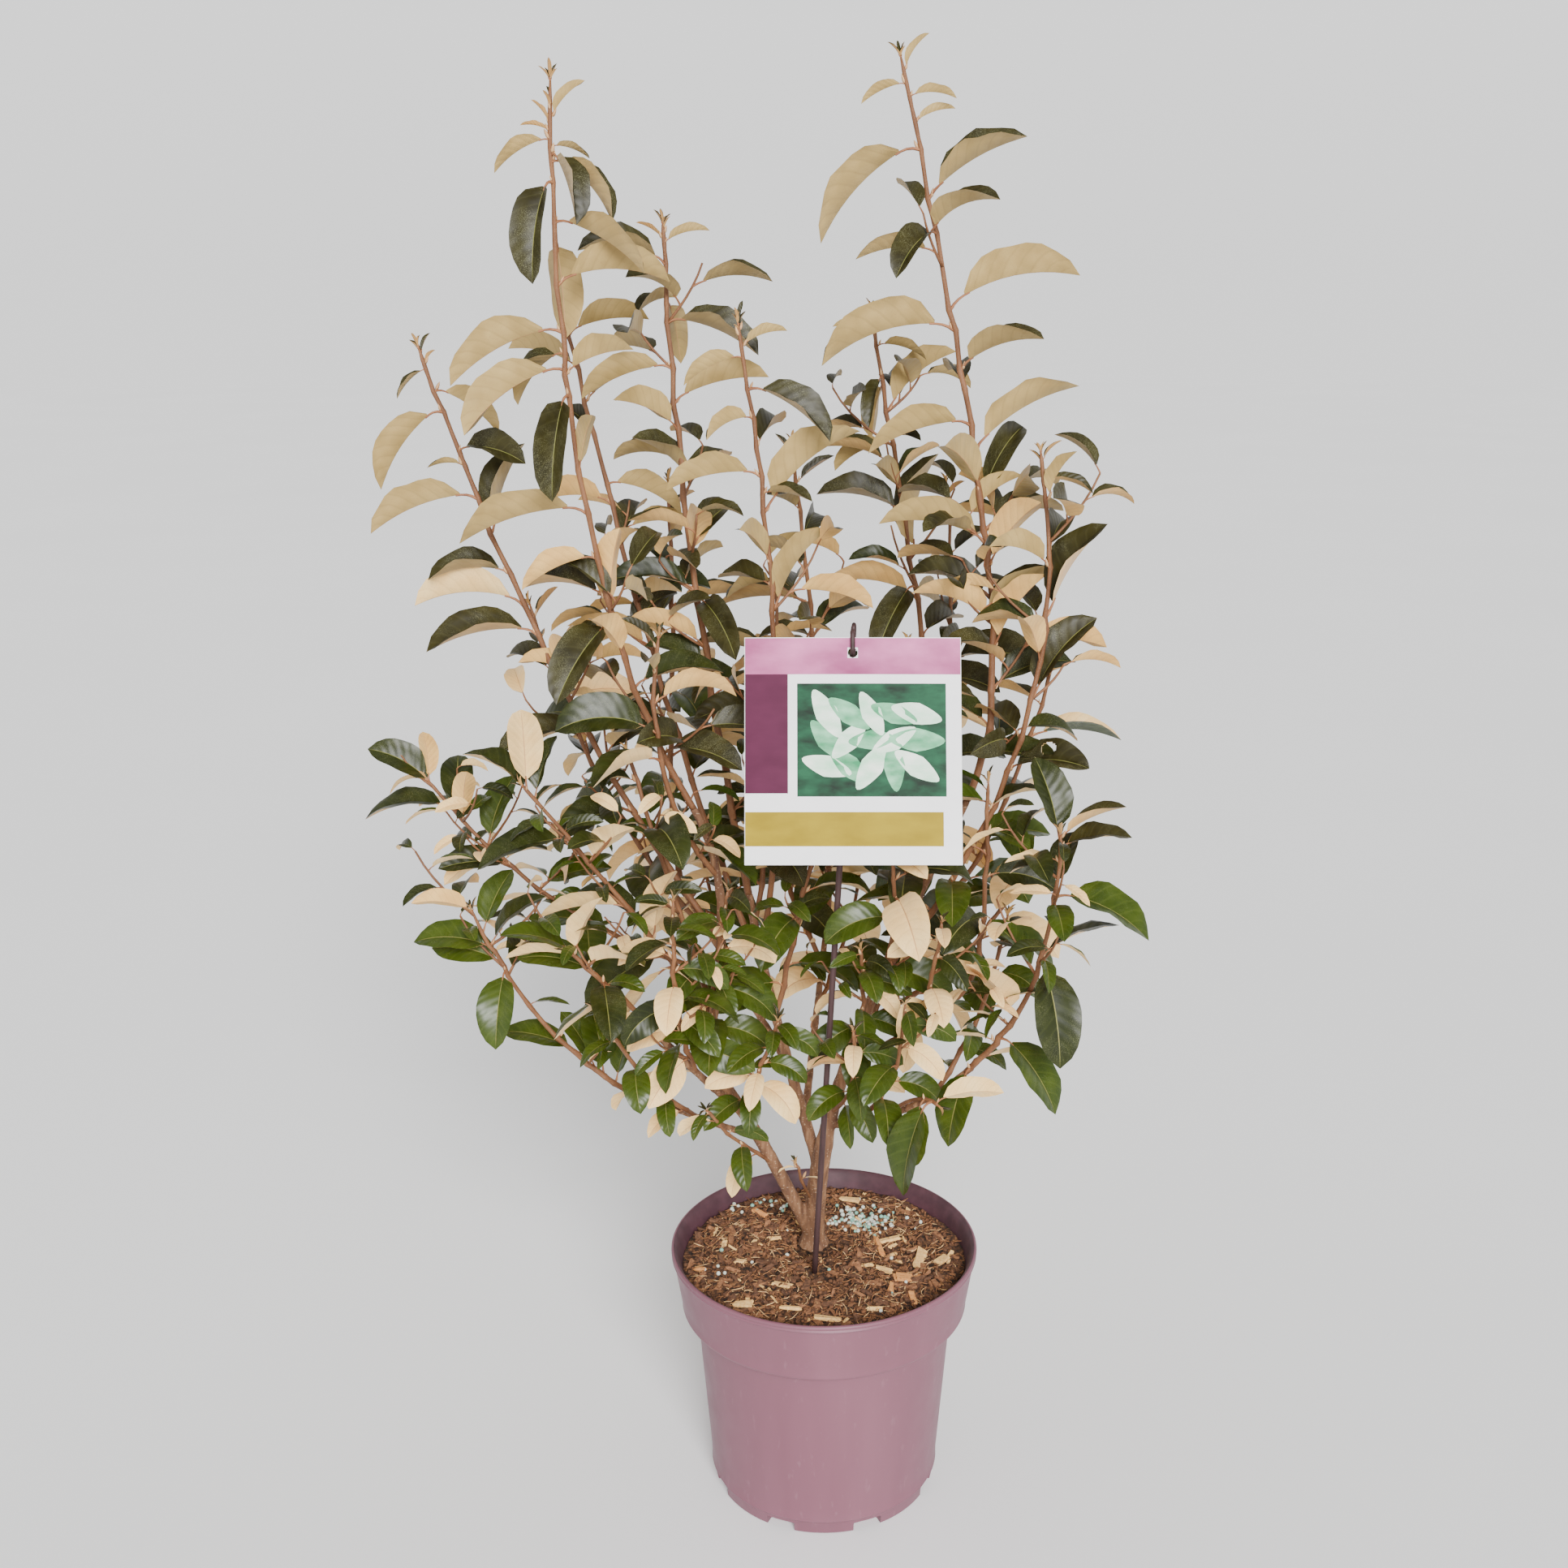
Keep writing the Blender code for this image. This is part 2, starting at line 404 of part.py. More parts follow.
def build_pot(collection, cutters):
    look = material("pot_mauve", MAUVE, 0.45)
    lip = RIM_RADIUS - COLLAR_TOP_RADIUS
    inner = [
        (0.0, FLOOR_THICKNESS),
        (wall_radius(FLOOR_THICKNESS) - 0.004, FLOOR_THICKNESS),
        (wall_radius(FLOOR_THICKNESS + 0.004), FLOOR_THICKNESS + 0.004),
        (wall_radius(BODY_TOP_HEIGHT - 0.001), BODY_TOP_HEIGHT - 0.001),
        (wall_radius(POT_HEIGHT - 0.004), POT_HEIGHT - 0.004),
    ]
    rim = arc(RIM_RADIUS - 0.0016, POT_HEIGHT - 0.0016, 0.0016, 100, 0, 3)
    outer = [
        (RIM_RADIUS, POT_HEIGHT - RIM_LIP_HEIGHT),
        (COLLAR_TOP_RADIUS, POT_HEIGHT - RIM_LIP_HEIGHT - lip),
        (COLLAR_FOOT_RADIUS + 0.0006, COLLAR_FOOT_HEIGHT + 0.006),
        *arc(COLLAR_FOOT_RADIUS - 0.0035, COLLAR_FOOT_HEIGHT, 0.0035, 0, -70, 2),
        (BODY_TOP_RADIUS + 0.0012, BODY_TOP_HEIGHT + 0.0008),
        (BODY_TOP_RADIUS, BODY_TOP_HEIGHT - 0.0015),
        (BODY_FOOT_RADIUS, BODY_FOOT_HEIGHT),
        (FOOT_RADIUS, BODY_FOOT_HEIGHT - 0.0008),
        (FOOT_RADIUS - 0.0008, 0.0),
        (0.0, 0.0),
    ]
    pot = turned("pot", inner + rim + outer, POT_SIDES, collection, look)
    for i in range(NOTCH_COUNT):
        angle = math.radians(22.5) + 2 * math.pi * i / NOTCH_COUNT
        shape = bmesh.new()
        size = (2 * NOTCH_DEPTH, NOTCH_WIDTH, 2 * NOTCH_HEIGHT)
        bmesh.ops.create_cube(shape, size=1.0, matrix=Matrix.Diagonal((*size, 1.0)))
        place = Matrix.Rotation(angle, 4, "Z") @ Matrix.Translation((FOOT_RADIUS, 0.0, 0.0))
        bmesh.ops.transform(shape, matrix=place, verts=shape.verts)
        data = bpy.data.meshes.new(f"notch_{i}")
        shape.to_mesh(data)
        shape.free()
        cutter = add_object(f"notch_{i}", data, cutters)
        cutter.hide_render = True
        cutter.display_type = "WIRE"
        cut = pot.modifiers.new(f"notch_{i}", "BOOLEAN")
        cut.operation = "DIFFERENCE"
        cut.solver = "EXACT"
        cut.object = cutter
    return pot


def build_soil(collection):
    look = material("soil_dark", DARK_EARTH, 0.95)
    edge = wall_radius(SOIL_HEIGHT) - GAP
    bottom = FLOOR_THICKNESS + GAP
    profile = [
        (0.0, SOIL_HEIGHT),
        (SOIL_RISE_RADIUS * 1.6, SOIL_HEIGHT),
        (edge - 0.012, SOIL_HEIGHT - 0.4 * SOIL_EDGE_DROP),
        (edge - SOIL_EDGE_DROP * 0.35, SOIL_HEIGHT - SOIL_EDGE_DROP),
        (wall_radius(BODY_TOP_HEIGHT) - GAP, BODY_TOP_HEIGHT + 0.0005),
        (wall_radius(bottom + 0.005) - 2 * GAP, bottom + 0.005),
        (wall_radius(bottom) - 0.005, bottom),
        (0.0, bottom),
    ]
    return turned("soil", profile, SOIL_SIDES, collection, look)


def hollow_soil(soil, cutters):
    """The shallow round hollow that the trunk stands in, its floor flat."""
    shape = bmesh.new()
    rise = SOIL_HOLLOW_DEPTH * 2
    bmesh.ops.create_cone(shape, cap_ends=True, segments=20, radius1=SOIL_HOLLOW_RADIUS,
                          radius2=SOIL_RISE_RADIUS, depth=rise)
    height = SOIL_HEIGHT - SOIL_HOLLOW_DEPTH + rise / 2
    bmesh.ops.translate(shape, vec=(TRUNK_FOOT.x, TRUNK_FOOT.y, height), verts=shape.verts)
    data = bpy.data.meshes.new("hollow")
    shape.to_mesh(data)
    shape.free()
    cutter = add_object("hollow", data, cutters)
    cutter.hide_render = True
    cutter.display_type = "WIRE"
    cut = soil.modifiers.new("hollow", "BOOLEAN")
    cut.operation = "DIFFERENCE"
    cut.solver = "EXACT"
    cut.object = cutter


# Limbs


def bezier(points, t):
    """A point of the cubic curve through the first and last of four points."""
    a, b, c, d = points
    u = 1.0 - t
    return a * u**3 + b * (3 * u * u * t) + c * (3 * u * t * t) + d * t**3


def bezier_heading(points, t):
    a, b, c, d = points
    u = 1.0 - t
    return ((b - a) * (u * u) + (c - b) * (2 * u * t) + (d - c) * (t * t)).normalized()


def limb_controls(carrier, at, knee, tip):
    """Control points of a limb that leaves its carrier's axis at a share of the length."""
    foot = bezier(carrier, at)
    knee = Vector(knee)
    if at >= 1.0:
        lead = bezier_heading(carrier, 1.0) * ((knee - foot).length * 0.4)
    else:
        lead = (knee - foot) * 0.4
    return (foot, foot + lead, foot + (knee - foot) * 0.94 + (Vector(tip) - foot) * 0.06, Vector(tip))


def radius_at(radii, t, flare=0.0):
    """From the foot's radius to the tip's: straight at a taper of 1, full to near the tip below it, with a root
    flare over the first stretch."""
    foot, tip, taper = radii
    spread = max(0.0, 1.0 - t / flare) if flare else 0.0
    return tip + (foot - tip) * max(0.0, 1.0 - t) ** taper + (FLARE_RADIUS - foot) * spread**2


def profile_curve(name, sides, cutters):
    """A closed polygon of unit radius, swept along the limbs."""
    data = bpy.data.curves.new(name, "CURVE")
    data.dimensions = "2D"
    data.fill_mode = "NONE"
    ring = data.splines.new("POLY")
    ring.points.add(sides - 1)
    for i, point in enumerate(ring.points):
        angle = 2 * math.pi * i / sides
        point.co = (math.cos(angle), math.sin(angle), 0.0, 1.0)
    ring.use_cyclic_u = True
    made = add_object(name, data, cutters)
    made.hide_render = True
    return made


def tube_mesh(name, points, radii, profile):
    """A tapering tube with closed ends: the profile swept along a poly line."""
    data = bpy.data.curves.new(name, "CURVE")
    data.dimensions = "3D"
    data.bevel_mode = "OBJECT"
    data.bevel_object = profile
    data.use_fill_caps = True
    line = data.splines.new("POLY")
    line.points.add(len(points) - 1)
    for point, place, radius in zip(line.points, points, radii):
        point.co = (*place, 1.0)
        point.radius = radius
    guide = bpy.data.objects.new(name, data)
    bpy.context.scene.collection.objects.link(guide)
    made = mesh_of(guide)
    bpy.data.objects.remove(guide, do_unlink=True)
    made.name = name
    return made


def foot_clearance(data, foot, tree, twigs):
    """Least distance from a tube's edges near its foot to the other limbs, below zero inside them, and to the
    sharp-edged twigs, which it may only pass."""
    least = 1.0
    for edge in data.edges:
        low, high = (data.vertices[i].co for i in edge.vertices)
        for i in range(FOOT_SAMPLES + 1):
            place = low.lerp(high, i / FOOT_SAMPLES)
            if (place - foot).length > FOOT_REACH:
                continue
            near, normal, _, distance = tree.find_nearest(place)
            if (place - near).dot(normal) < 0.0:
                distance = -distance
            least = min(least, distance)
            if twigs:
                least = min(least, twigs.find_nearest(place)[3])
    return least


def seated_limb(name, controls, radii, stations, profile, tree, twigs=None):
    """A limb that starts where its own foot, corners and all, first stands the gap clear of what carries it."""
    step = SEAT_STEP / (controls[3] - controls[0]).length
    near, far = 0.0, step
    made = limb_mesh(name, controls, far, radii, stations, profile)
    while foot_clearance(made, bezier(controls, far), tree, twigs) < GAP and far < 0.5:
        near, far = far, far + step
        made = limb_mesh(name, controls, far, radii, stations, profile)
    for _ in range(SEAT_HALVINGS):
        middle = (near + far) / 2
        data = limb_mesh(name, controls, middle, radii, stations, profile)
        if foot_clearance(data, bezier(controls, middle), tree, twigs) >= GAP:
            far, made = middle, data
        else:
            near = middle
    return far, made


def limb_mesh(name, controls, start, radii, stations, profile, flare=0.0):
    shares = [start + (1.0 - start) * i / (stations - 1) for i in range(stations)]
    if flare:
        shares = sorted(shares + [0.25 * flare, 0.5 * flare, flare])
    points = [bezier(controls, t) for t in shares]
    return tube_mesh(name, points, [radius_at(radii, t, flare) for t in shares], profile)


# Leaves


Leaf = namedtuple("Leaf", "origin up out side length bends fold roll root")


def blend(low, high, share):
    return low + (high - low) * max(0.0, min(1.0, share))


def stem_stations(controls):
    return SHORT_TWIG_STATIONS if (controls[3] - controls[0]).length < SHORT_TWIG else TWIG_STATIONS


def on_stem(controls, start, t):
    """The point of a twig's straight stretches that stands for the curve's, so that its leaf roots in it."""
    last = stem_stations(controls) - 1
    step = (1.0 - start) / last
    k = max(0, min(last - 1, int((t - start) / step)))
    first = start + k * step
    return bezier(controls, first).lerp(bezier(controls, first + step), (t - first) / step)


def leaf_places(count):
    """Shares along the shoot, foot to tip, closer together towards the tip."""
    return [0.10 + 0.89 * (1.0 - (1.0 - (i + 0.6) / count) ** 1.3) for i in range(count)]


def upper_fold(origin, draw):
    """Blades are nearly flat low in the crown and folded up along the midrib high in it."""
    height = (origin.z - LOW_CROWN) / (HIGH_CROWN - LOW_CROWN)
    return math.radians(blend(16, 52, height) + draw.uniform(-8, 8))


def leaf_root(shoot, t):
    return min(LEAF_ROOT, ROOT_IN_TWIG * blend(shoot.foot_radius, TWIG_TIP_RADIUS, t))


def read_leaf(shoot, controls, start, row, draw):
    """A leaf of a shoot that has them one by one, from its row."""
    t, compass, slope, blade, roll = row
    origin = on_stem(controls, start, t)
    angle = math.radians(compass + draw.uniform(-4, 4))
    curl = 34 + draw.uniform(-8, 8)
    fold = upper_fold(origin, draw)
    up = Vector((0.0, 0.0, 1.0))
    out = Vector((math.cos(angle), math.sin(angle), 0.0))
    bends = [math.radians(bend) for bend in (max(20, min(65, slope + 60)), slope + curl / 2, slope - curl / 2)]
    roll = math.radians(-roll) * math.copysign(1.0, out.x)
    size = blade * 0.001 / (1.0 - PETIOLE_SHARE)
    return Leaf(origin, up, out, up.cross(out), size, bends, fold, roll, leaf_root(shoot, t))


def ruled_leaf(shoot, controls, start, share, angle, draw):
    """A leaf of any other shoot, by the seeded rule."""
    t = start + (1.0 - start) * share
    origin = on_stem(controls, start, t)
    angle += math.radians(draw.uniform(-16, 16))
    stem = bezier_heading(controls, t)
    up = (stem * 0.55 + Vector((0.0, 0.0, 0.85))).normalized()
    level = Vector((math.cos(angle), math.sin(angle), 0.0))
    out = (level - up * level.dot(up)).normalized()
    side = up.cross(out)
    height = (origin.z - LOW_CROWN) / (HIGH_CROWN - LOW_CROWN)
    young = max(0.0, (share - 0.80) / 0.19) * blend(0.35, 1.0, height)
    size = shoot.leaf_length * draw.uniform(0.86, 1.12) * (1.0 - 0.66 * young**0.8)
    size *= blend(0.84, 1.0, share / 0.25)
    bends = (
        math.radians(blend(44, 48, height) + draw.uniform(-8, 8) + 16 * young),
        math.radians(blend(8, 22, height) + draw.uniform(-12, 12) + 26 * young),
        math.radians(blend(-56, -14, height) + draw.uniform(-16, 16) + 44 * young),
    )
    fold = upper_fold(origin, draw)
    facing = math.copysign(1.0, origin.y + 0.4 * out.y) if abs(origin.y) > 0.004 else -1.0
    lean = -blend(42, -16, height) * side.y * facing
    roll = math.radians(lean + draw.gauss(0.0, 20.0))
    return Leaf(origin, up, out, side, size, bends, fold, roll, leaf_root(shoot, t))


def counts(shoot, row):
    """Whether a leaf is large and far enough out for the solids. The scene makes the others too."""
    t, _, _, blade, _ = row
    if t > TIP_SHARE:
        return blade >= LEAST_TIP_BLADE
    return blade >= LEAST_BLADE and (t > DEEP_SHARE or shoot.tip[2] < HIGH_CROWN)


def plan_leaves(shoot, controls, start):
    """Every leaf of a shoot. The tufts of tiny leaves at the tips are left to the scene."""
    draw = random.Random(shoot.seed)
    if isinstance(shoot.leaves, tuple):
        leaves = [read_leaf(shoot, controls, start, row, draw) for row in shoot.leaves]
        yield from (leaf for leaf, row in zip(leaves, shoot.leaves) if counts(shoot, row))
        return
    spiral = isinstance(shoot.leaves, int)
    count = shoot.leaves if spiral else len(shoot.leaves)
    turn = draw.uniform(0.0, 2 * math.pi)
    for i, share in enumerate(leaf_places(count)):
        angle = turn + i * SPIRAL_TURN if spiral else math.radians(SIDE_ANGLES[shoot.leaves[i]])
        yield ruled_leaf(shoot, controls, start, share, angle, draw)


def arc_reach(start, end, length):
    """Run and rise of a circular arc that turns from one slope to another."""
    turn = end - start
    if abs(turn) < 1e-4:
        return length * math.cos(start), length * math.sin(start)
    radius = length / turn
    return radius * (math.sin(end) - math.sin(start)), radius * (math.cos(start) - math.cos(end))


def midrib(leaf, s):
    """Place and slope of the midrib at a share of the leaf's length: a petiole that bends over, then the
    blade's long arc."""
    root, base, tip = leaf.bends
    stalk = min(s, PETIOLE_SHARE) / PETIOLE_SHARE
    slope = root + (base - root) * stalk
    run, rise = arc_reach(root, slope, leaf.length * min(s, PETIOLE_SHARE))
    if s > PETIOLE_SHARE:
        blade = (s - PETIOLE_SHARE) / (1.0 - PETIOLE_SHARE)
        slope = base + (tip - base) * blade
        more_run, more_rise = arc_reach(base, slope, leaf.length * (s - PETIOLE_SHARE))
        run += more_run
        rise += more_rise
    return leaf.origin + leaf.out * run + leaf.up * rise, slope


def leaf_point(leaf, s, across, above):
    """A point at a share s of the length, so far across the blade and above it, folded and rolled."""
    place, slope = midrib(leaf, s)
    heading = leaf.out * math.cos(slope) + leaf.up * math.sin(slope)
    turn = Matrix.Rotation(leaf.roll, 3, heading)
    side = turn @ leaf.side
    normal = turn @ heading.cross(leaf.side)
    rise = abs(across) * math.sin(leaf.fold) + above
    return place + side * (across * math.cos(leaf.fold)) + normal * rise


def leaf_mesh(name, leaf, swell=0.0):
    """A folded lens: a cone whose base is poked gives the rim and both faces, and two turned edges leave the
    root an upright edge."""
    shape = bmesh.new()
    bmesh.ops.create_cone(shape, cap_ends=True, segments=7, radius1=1.0, radius2=0.0, depth=1.0)
    rim_face = next(face for face in shape.faces if len(face.verts) == 7)
    rim = sorted(rim_face.verts, key=lambda v: math.atan2(v.co.y, v.co.x))
    apex = next(v for v in shape.verts if v not in rim)
    keel = bmesh.ops.poke(shape, faces=[rim_face])["verts"][0]
    width = leaf.length * LEAF_HALF_WIDTH * blend(0.6, 1.0, (leaf.length - 0.02) / 0.03) + swell
    half = max(leaf.length * LEAF_THICKNESS, LEAF_THINNEST) / 2 + swell
    outline = (
        (0.0, 0.0, leaf.root),
        (0.0, 0.0, -leaf.root),
        (0.36, -width * 0.94, 0.0),
        (0.70, -width * 0.88, 0.0),
        (1.0 + swell / leaf.length, 0.0, 0.0),
        (0.70, width * 0.88, 0.0),
        (0.36, width * 0.94, 0.0),
    )
    for vertex, (s, across, above) in zip(rim, outline):
        vertex.co = leaf_point(leaf, s, across, above)
    apex.co = leaf_point(leaf, 0.54, 0.0, half)
    keel.co = leaf_point(leaf, 0.54, 0.0, -half)
    for middle, corner in ((apex, rim[1]), (keel, rim[0])):
        spoke = next(edge for edge in middle.link_edges if edge.other_vert(middle) is corner)
        bmesh.utils.edge_rotate(spoke)
    bmesh.ops.recalc_face_normals(shape, faces=shape.faces)
    data = bpy.data.meshes.new(name)
    shape.to_mesh(data)
    shape.free()
    return data


def keeps_to_its_space(data, obstacles):
    """True where a leaf stays above the pot's rim and touches nothing outside its own mass."""
    if min(v.co.z for v in data.vertices) < LOWEST_LEAF:
        return False
    return not bvh_of([data]).overlap(obstacles)


def grow_leaves(shoot, controls, start, obstacles):
    """The shoot's leaves that fit among the others, and their meshes."""
    kept = []
    for i, leaf in enumerate(plan_leaves(shoot, controls, start)):
        probe = leaf_mesh("probe", leaf, LEAF_CLEARANCE)
        fits = keeps_to_its_space(probe, obstacles)
        bpy.data.meshes.remove(probe)
        if fits:
            kept.append(leaf_mesh(f"{shoot.name}_leaf_{i}", leaf))
    return kept


def is_sound(shape_data, twig):
    """Whether a union is closed and still has the twig's foot."""
    shape = bmesh.new()
    shape.from_mesh(shape_data)
    closed = all(len(edge.link_faces) == 2 for edge in shape.edges)
    places = [vertex.co.copy() for vertex in shape.verts]
    shape.free()
    foot = twig.vertices[0].co
    return closed and min((place - foot).length for place in places) < SAME_PLACE


def fuse(name, twig, leaves, collection, look):
    """One Boolean union of a twig with a collection of leaves, applied. The second solver steps in where the
    first leaves an open edge or loses the twig."""
    made = add_object(name, twig, collection, look)
    spray = new_collection(f"{name}_leaves")
    for data in leaves:
        add_object(data.name, data, spray)
    join = made.modifiers.new("leaves", "BOOLEAN")
    join.operation = "UNION"
    join.operand_type = "COLLECTION"
    join.collection = spray
    for solver in ("EXACT", "MANIFOLD"):
        join.solver = solver
        bpy.context.view_layer.update()
        graph = bpy.context.evaluated_depsgraph_get()
        fused = bpy.data.meshes.new_from_object(made.evaluated_get(graph))
        if is_sound(fused, twig):
            break
    made.modifiers.clear()
    made.data = fused
    fused.materials.clear()
    fused.materials.append(look)
    for leaf in list(spray.objects):
        bpy.data.objects.remove(leaf, do_unlink=True)
    bpy.data.collections.remove(spray)
    return made


# Label


def card_frame():
    """The card's axes: across it, up it and out of its face."""
    across = Vector((1.0, 0.0, 0.0))
    upward = (CARD_TOP - CARD_FOOT).normalized()
    return across, upward, across.cross(upward)


def build_card(collection, cutters):
    look = material("card_white", CARD_WHITE, 0.35)
    across, upward, outward = card_frame()
    height = (CARD_TOP - CARD_FOOT).length
    middle = (CARD_TOP + CARD_FOOT) / 2
    place = Matrix((across, upward, outward)).transposed().to_4x4()
    place.translation = middle
    shape = bmesh.new()
    size = Matrix.Diagonal((CARD_WIDTH, height, CARD_THICKNESS, 1.0))
    bmesh.ops.create_cube(shape, size=1.0, matrix=size)
    data = bpy.data.meshes.new("label_card")
    shape.to_mesh(data)
    shape.free()
    card = add_object("label_card", data, collection, look)
    card.matrix_world = place
    shape = bmesh.new()
    bmesh.ops.create_cone(shape, cap_ends=True, segments=16, radius1=CARD_HOLE_RADIUS,
                          radius2=CARD_HOLE_RADIUS, depth=0.01)
    bmesh.ops.translate(shape, vec=(0.0, height / 2 - CARD_HOLE_DROP, 0.0), verts=shape.verts)
    data = bpy.data.meshes.new("card_hole")
    shape.to_mesh(data)
    shape.free()
    cutter = add_object("card_hole", data, cutters)
    cutter.matrix_world = place
    cutter.hide_render = True
    cutter.display_type = "WIRE"
    cut = card.modifiers.new("hole", "BOOLEAN")
    cut.operation = "DIFFERENCE"
    cut.solver = "EXACT"
    cut.object = cutter
    return card


def stick_route():
    """The stick, straight to its top, then a hook over the card's edge and back into its hole."""
    _, upward, outward = card_frame()
    hole = CARD_TOP - upward * CARD_HOLE_DROP
    stand = HOOK_RADIUS + CARD_THICKNESS / 2 + 0.0004
    behind = STICK_TOP - STICK_FOOT
    lean = behind.normalized()
    over = CARD_TOP + upward * (HOOK_RADIUS + 0.0006)
    route = [STICK_FOOT, STICK_FOOT + behind * 0.35, STICK_FOOT + behind * 0.70, STICK_TOP - lean * 0.006]
    route.append(over - outward * stand + upward * 0.0005)
    route.append(over + upward * 0.0012)
    route.append(over + outward * stand + upward * 0.0005)
    route.append(CARD_TOP + outward * (stand + 0.0004) - upward * 0.004)
    route.append(hole + outward * (stand + 0.0004) + upward * 0.0012)
    route.append(hole - outward * 0.0012)
    return route


def build_stick(collection, profile):
    look = material("stick_brown", STICK_BROWN, 0.4)
    route = stick_route()
    radii = [STICK_RADIUS] * 3 + [HOOK_RADIUS] * (len(route) - 3)
    data = tube_mesh("label_stick", route, radii, profile)
    return add_object("label_stick", data, collection, look)


# Whole plant


def build_limbs(collection, profile):
    """The trunk and boughs. Returns each one's curve and mesh by name."""
    look = material("bark", BARK, 0.8)
    rise = TRUNK_TIP.z - TRUNK_FOOT.z
    controls = (TRUNK_FOOT, TRUNK_FOOT + Vector((0.0, 0.0, rise * 0.3)), TRUNK_KNEE, TRUNK_TIP)
    curves = {"trunk": controls}
    data = limb_mesh("trunk", controls, 0.0, TRUNK_RADII, LIMB_STATIONS, profile, FLARE_HEIGHT / rise)
    add_object("trunk", data, collection, look)
    meshes = {"trunk": data}
    for bough in BOUGHS:
        controls = limb_controls(curves[bough.carrier], bough.at, bough.knee, bough.tip)
        tree = bvh_of(meshes.values())
        radii = (bough.foot_radius, bough.tip_radius, 1.0)
        _, data = seated_limb(bough.name, controls, radii, LIMB_STATIONS, profile, tree)
        add_object(bough.name, data, collection, look)
        curves[bough.name] = controls
        meshes[bough.name] = data
    return curves, meshes


def build_shoots(collection, profile, curves, limbs, others):
    """The twigs first, then the leaves of each mass in turn, clear of all that is there already."""
    look = material("foliage", LEAF_GREEN, 0.5)
    tree = bvh_of(limbs.values())
    twigs = {}
    for shoot in SHOOTS:
        controls = limb_controls(curves[shoot.carrier], shoot.at, shoot.knee, shoot.tip)
        placed = bvh_of([twig for _, _, twig in twigs.values()]) if twigs else None
        radii = (shoot.foot_radius, TWIG_TIP_RADIUS, SHOOT_TAPER)
        start, data = seated_limb(shoot.name, controls, radii, stem_stations(controls), profile, tree, placed)
        twigs[shoot.name] = (controls, start, data)
    grown = {}
    for shoot in SHOOTS:
        controls, start, data = twigs[shoot.name]
        obstacles = list(limbs.values()) + list(others)
        obstacles += [twig for name, (_, _, twig) in twigs.items() if name != shoot.name]
        obstacles += [leaf for leaves in grown.values() for leaf in leaves]
        grown[shoot.name] = grow_leaves(shoot, controls, start, bvh_of(obstacles))
    for shoot in SHOOTS:
        fuse(shoot.name, twigs[shoot.name][2], grown[shoot.name], collection, look)


def main():
    clear_scene()
    plant = new_collection("potted_silverberry")
    cutters = new_collection("cutters")
    round_profile = profile_curve("round_profile", LIMB_SIDES, cutters)
    twig_profile = profile_curve("twig_profile", TWIG_SIDES, cutters)
    pot = build_pot(plant, cutters)
    soil = build_soil(plant)
    hollow_soil(soil, cutters)
    card = build_card(plant, cutters)
    stick = build_stick(plant, round_profile)
    bpy.context.view_layer.update()
    card_shape = mesh_of(card)
    card_shape.transform(card.matrix_world)
    others = [mesh_of(pot), mesh_of(soil), card_shape, stick.data]
    curves, limbs = build_limbs(plant, round_profile)
    build_shoots(plant, twig_profile, curves, limbs, others)
    for thing in plant.objects:
        if thing.type == "MESH" and thing.name in ("pot", "label_stick", "trunk"):
            thing.data.shade_smooth()
            thing.data.set_sharp_from_angle(angle=math.radians(35))


main()
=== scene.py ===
"""Looks of a potted evergreen shrub with silvery leaf undersides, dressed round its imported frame."""

import math
import random
from collections import namedtuple

import bmesh
import bpy
from mathutils import Matrix, Vector, noise
from mathutils.bvhtree import BVHTree


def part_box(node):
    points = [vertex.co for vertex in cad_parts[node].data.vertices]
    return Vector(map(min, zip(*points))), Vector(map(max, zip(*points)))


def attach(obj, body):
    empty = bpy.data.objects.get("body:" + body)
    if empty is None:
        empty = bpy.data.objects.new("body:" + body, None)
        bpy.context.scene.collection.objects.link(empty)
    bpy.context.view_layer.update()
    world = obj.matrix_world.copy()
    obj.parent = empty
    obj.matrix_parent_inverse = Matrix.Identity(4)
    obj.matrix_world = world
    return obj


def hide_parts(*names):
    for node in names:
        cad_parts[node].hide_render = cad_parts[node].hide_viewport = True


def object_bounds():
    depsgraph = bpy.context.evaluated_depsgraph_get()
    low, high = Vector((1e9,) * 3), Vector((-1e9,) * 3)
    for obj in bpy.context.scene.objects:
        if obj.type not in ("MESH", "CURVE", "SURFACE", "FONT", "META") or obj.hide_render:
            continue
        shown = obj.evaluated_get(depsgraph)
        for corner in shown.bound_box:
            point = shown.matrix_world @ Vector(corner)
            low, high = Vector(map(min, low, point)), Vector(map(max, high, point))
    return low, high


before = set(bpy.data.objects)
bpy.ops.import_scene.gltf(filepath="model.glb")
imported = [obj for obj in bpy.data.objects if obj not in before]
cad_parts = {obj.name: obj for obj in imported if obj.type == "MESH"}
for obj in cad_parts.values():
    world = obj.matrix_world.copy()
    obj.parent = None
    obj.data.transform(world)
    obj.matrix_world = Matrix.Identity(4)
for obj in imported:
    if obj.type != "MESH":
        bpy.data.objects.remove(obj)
CAD_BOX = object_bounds()

# The photograph's frame and the view that fits the pot's outline
PHOTO_SIZE = 1932
VIEW_DISTANCE = 1.2
VIEW_HEIGHT = 0.899
VIEW_PITCH = math.radians(16.14)
FOCAL_PIXELS = 2206.0
MIDDLE_PIXEL = 1015.3
SENSOR = 36.0

# Studio light
HORIZON_LIGHT = 1.55
ZENITH_LIGHT = 0.45
KEY_LIGHT = 5.8
FLOOR_MATCH = 0.85

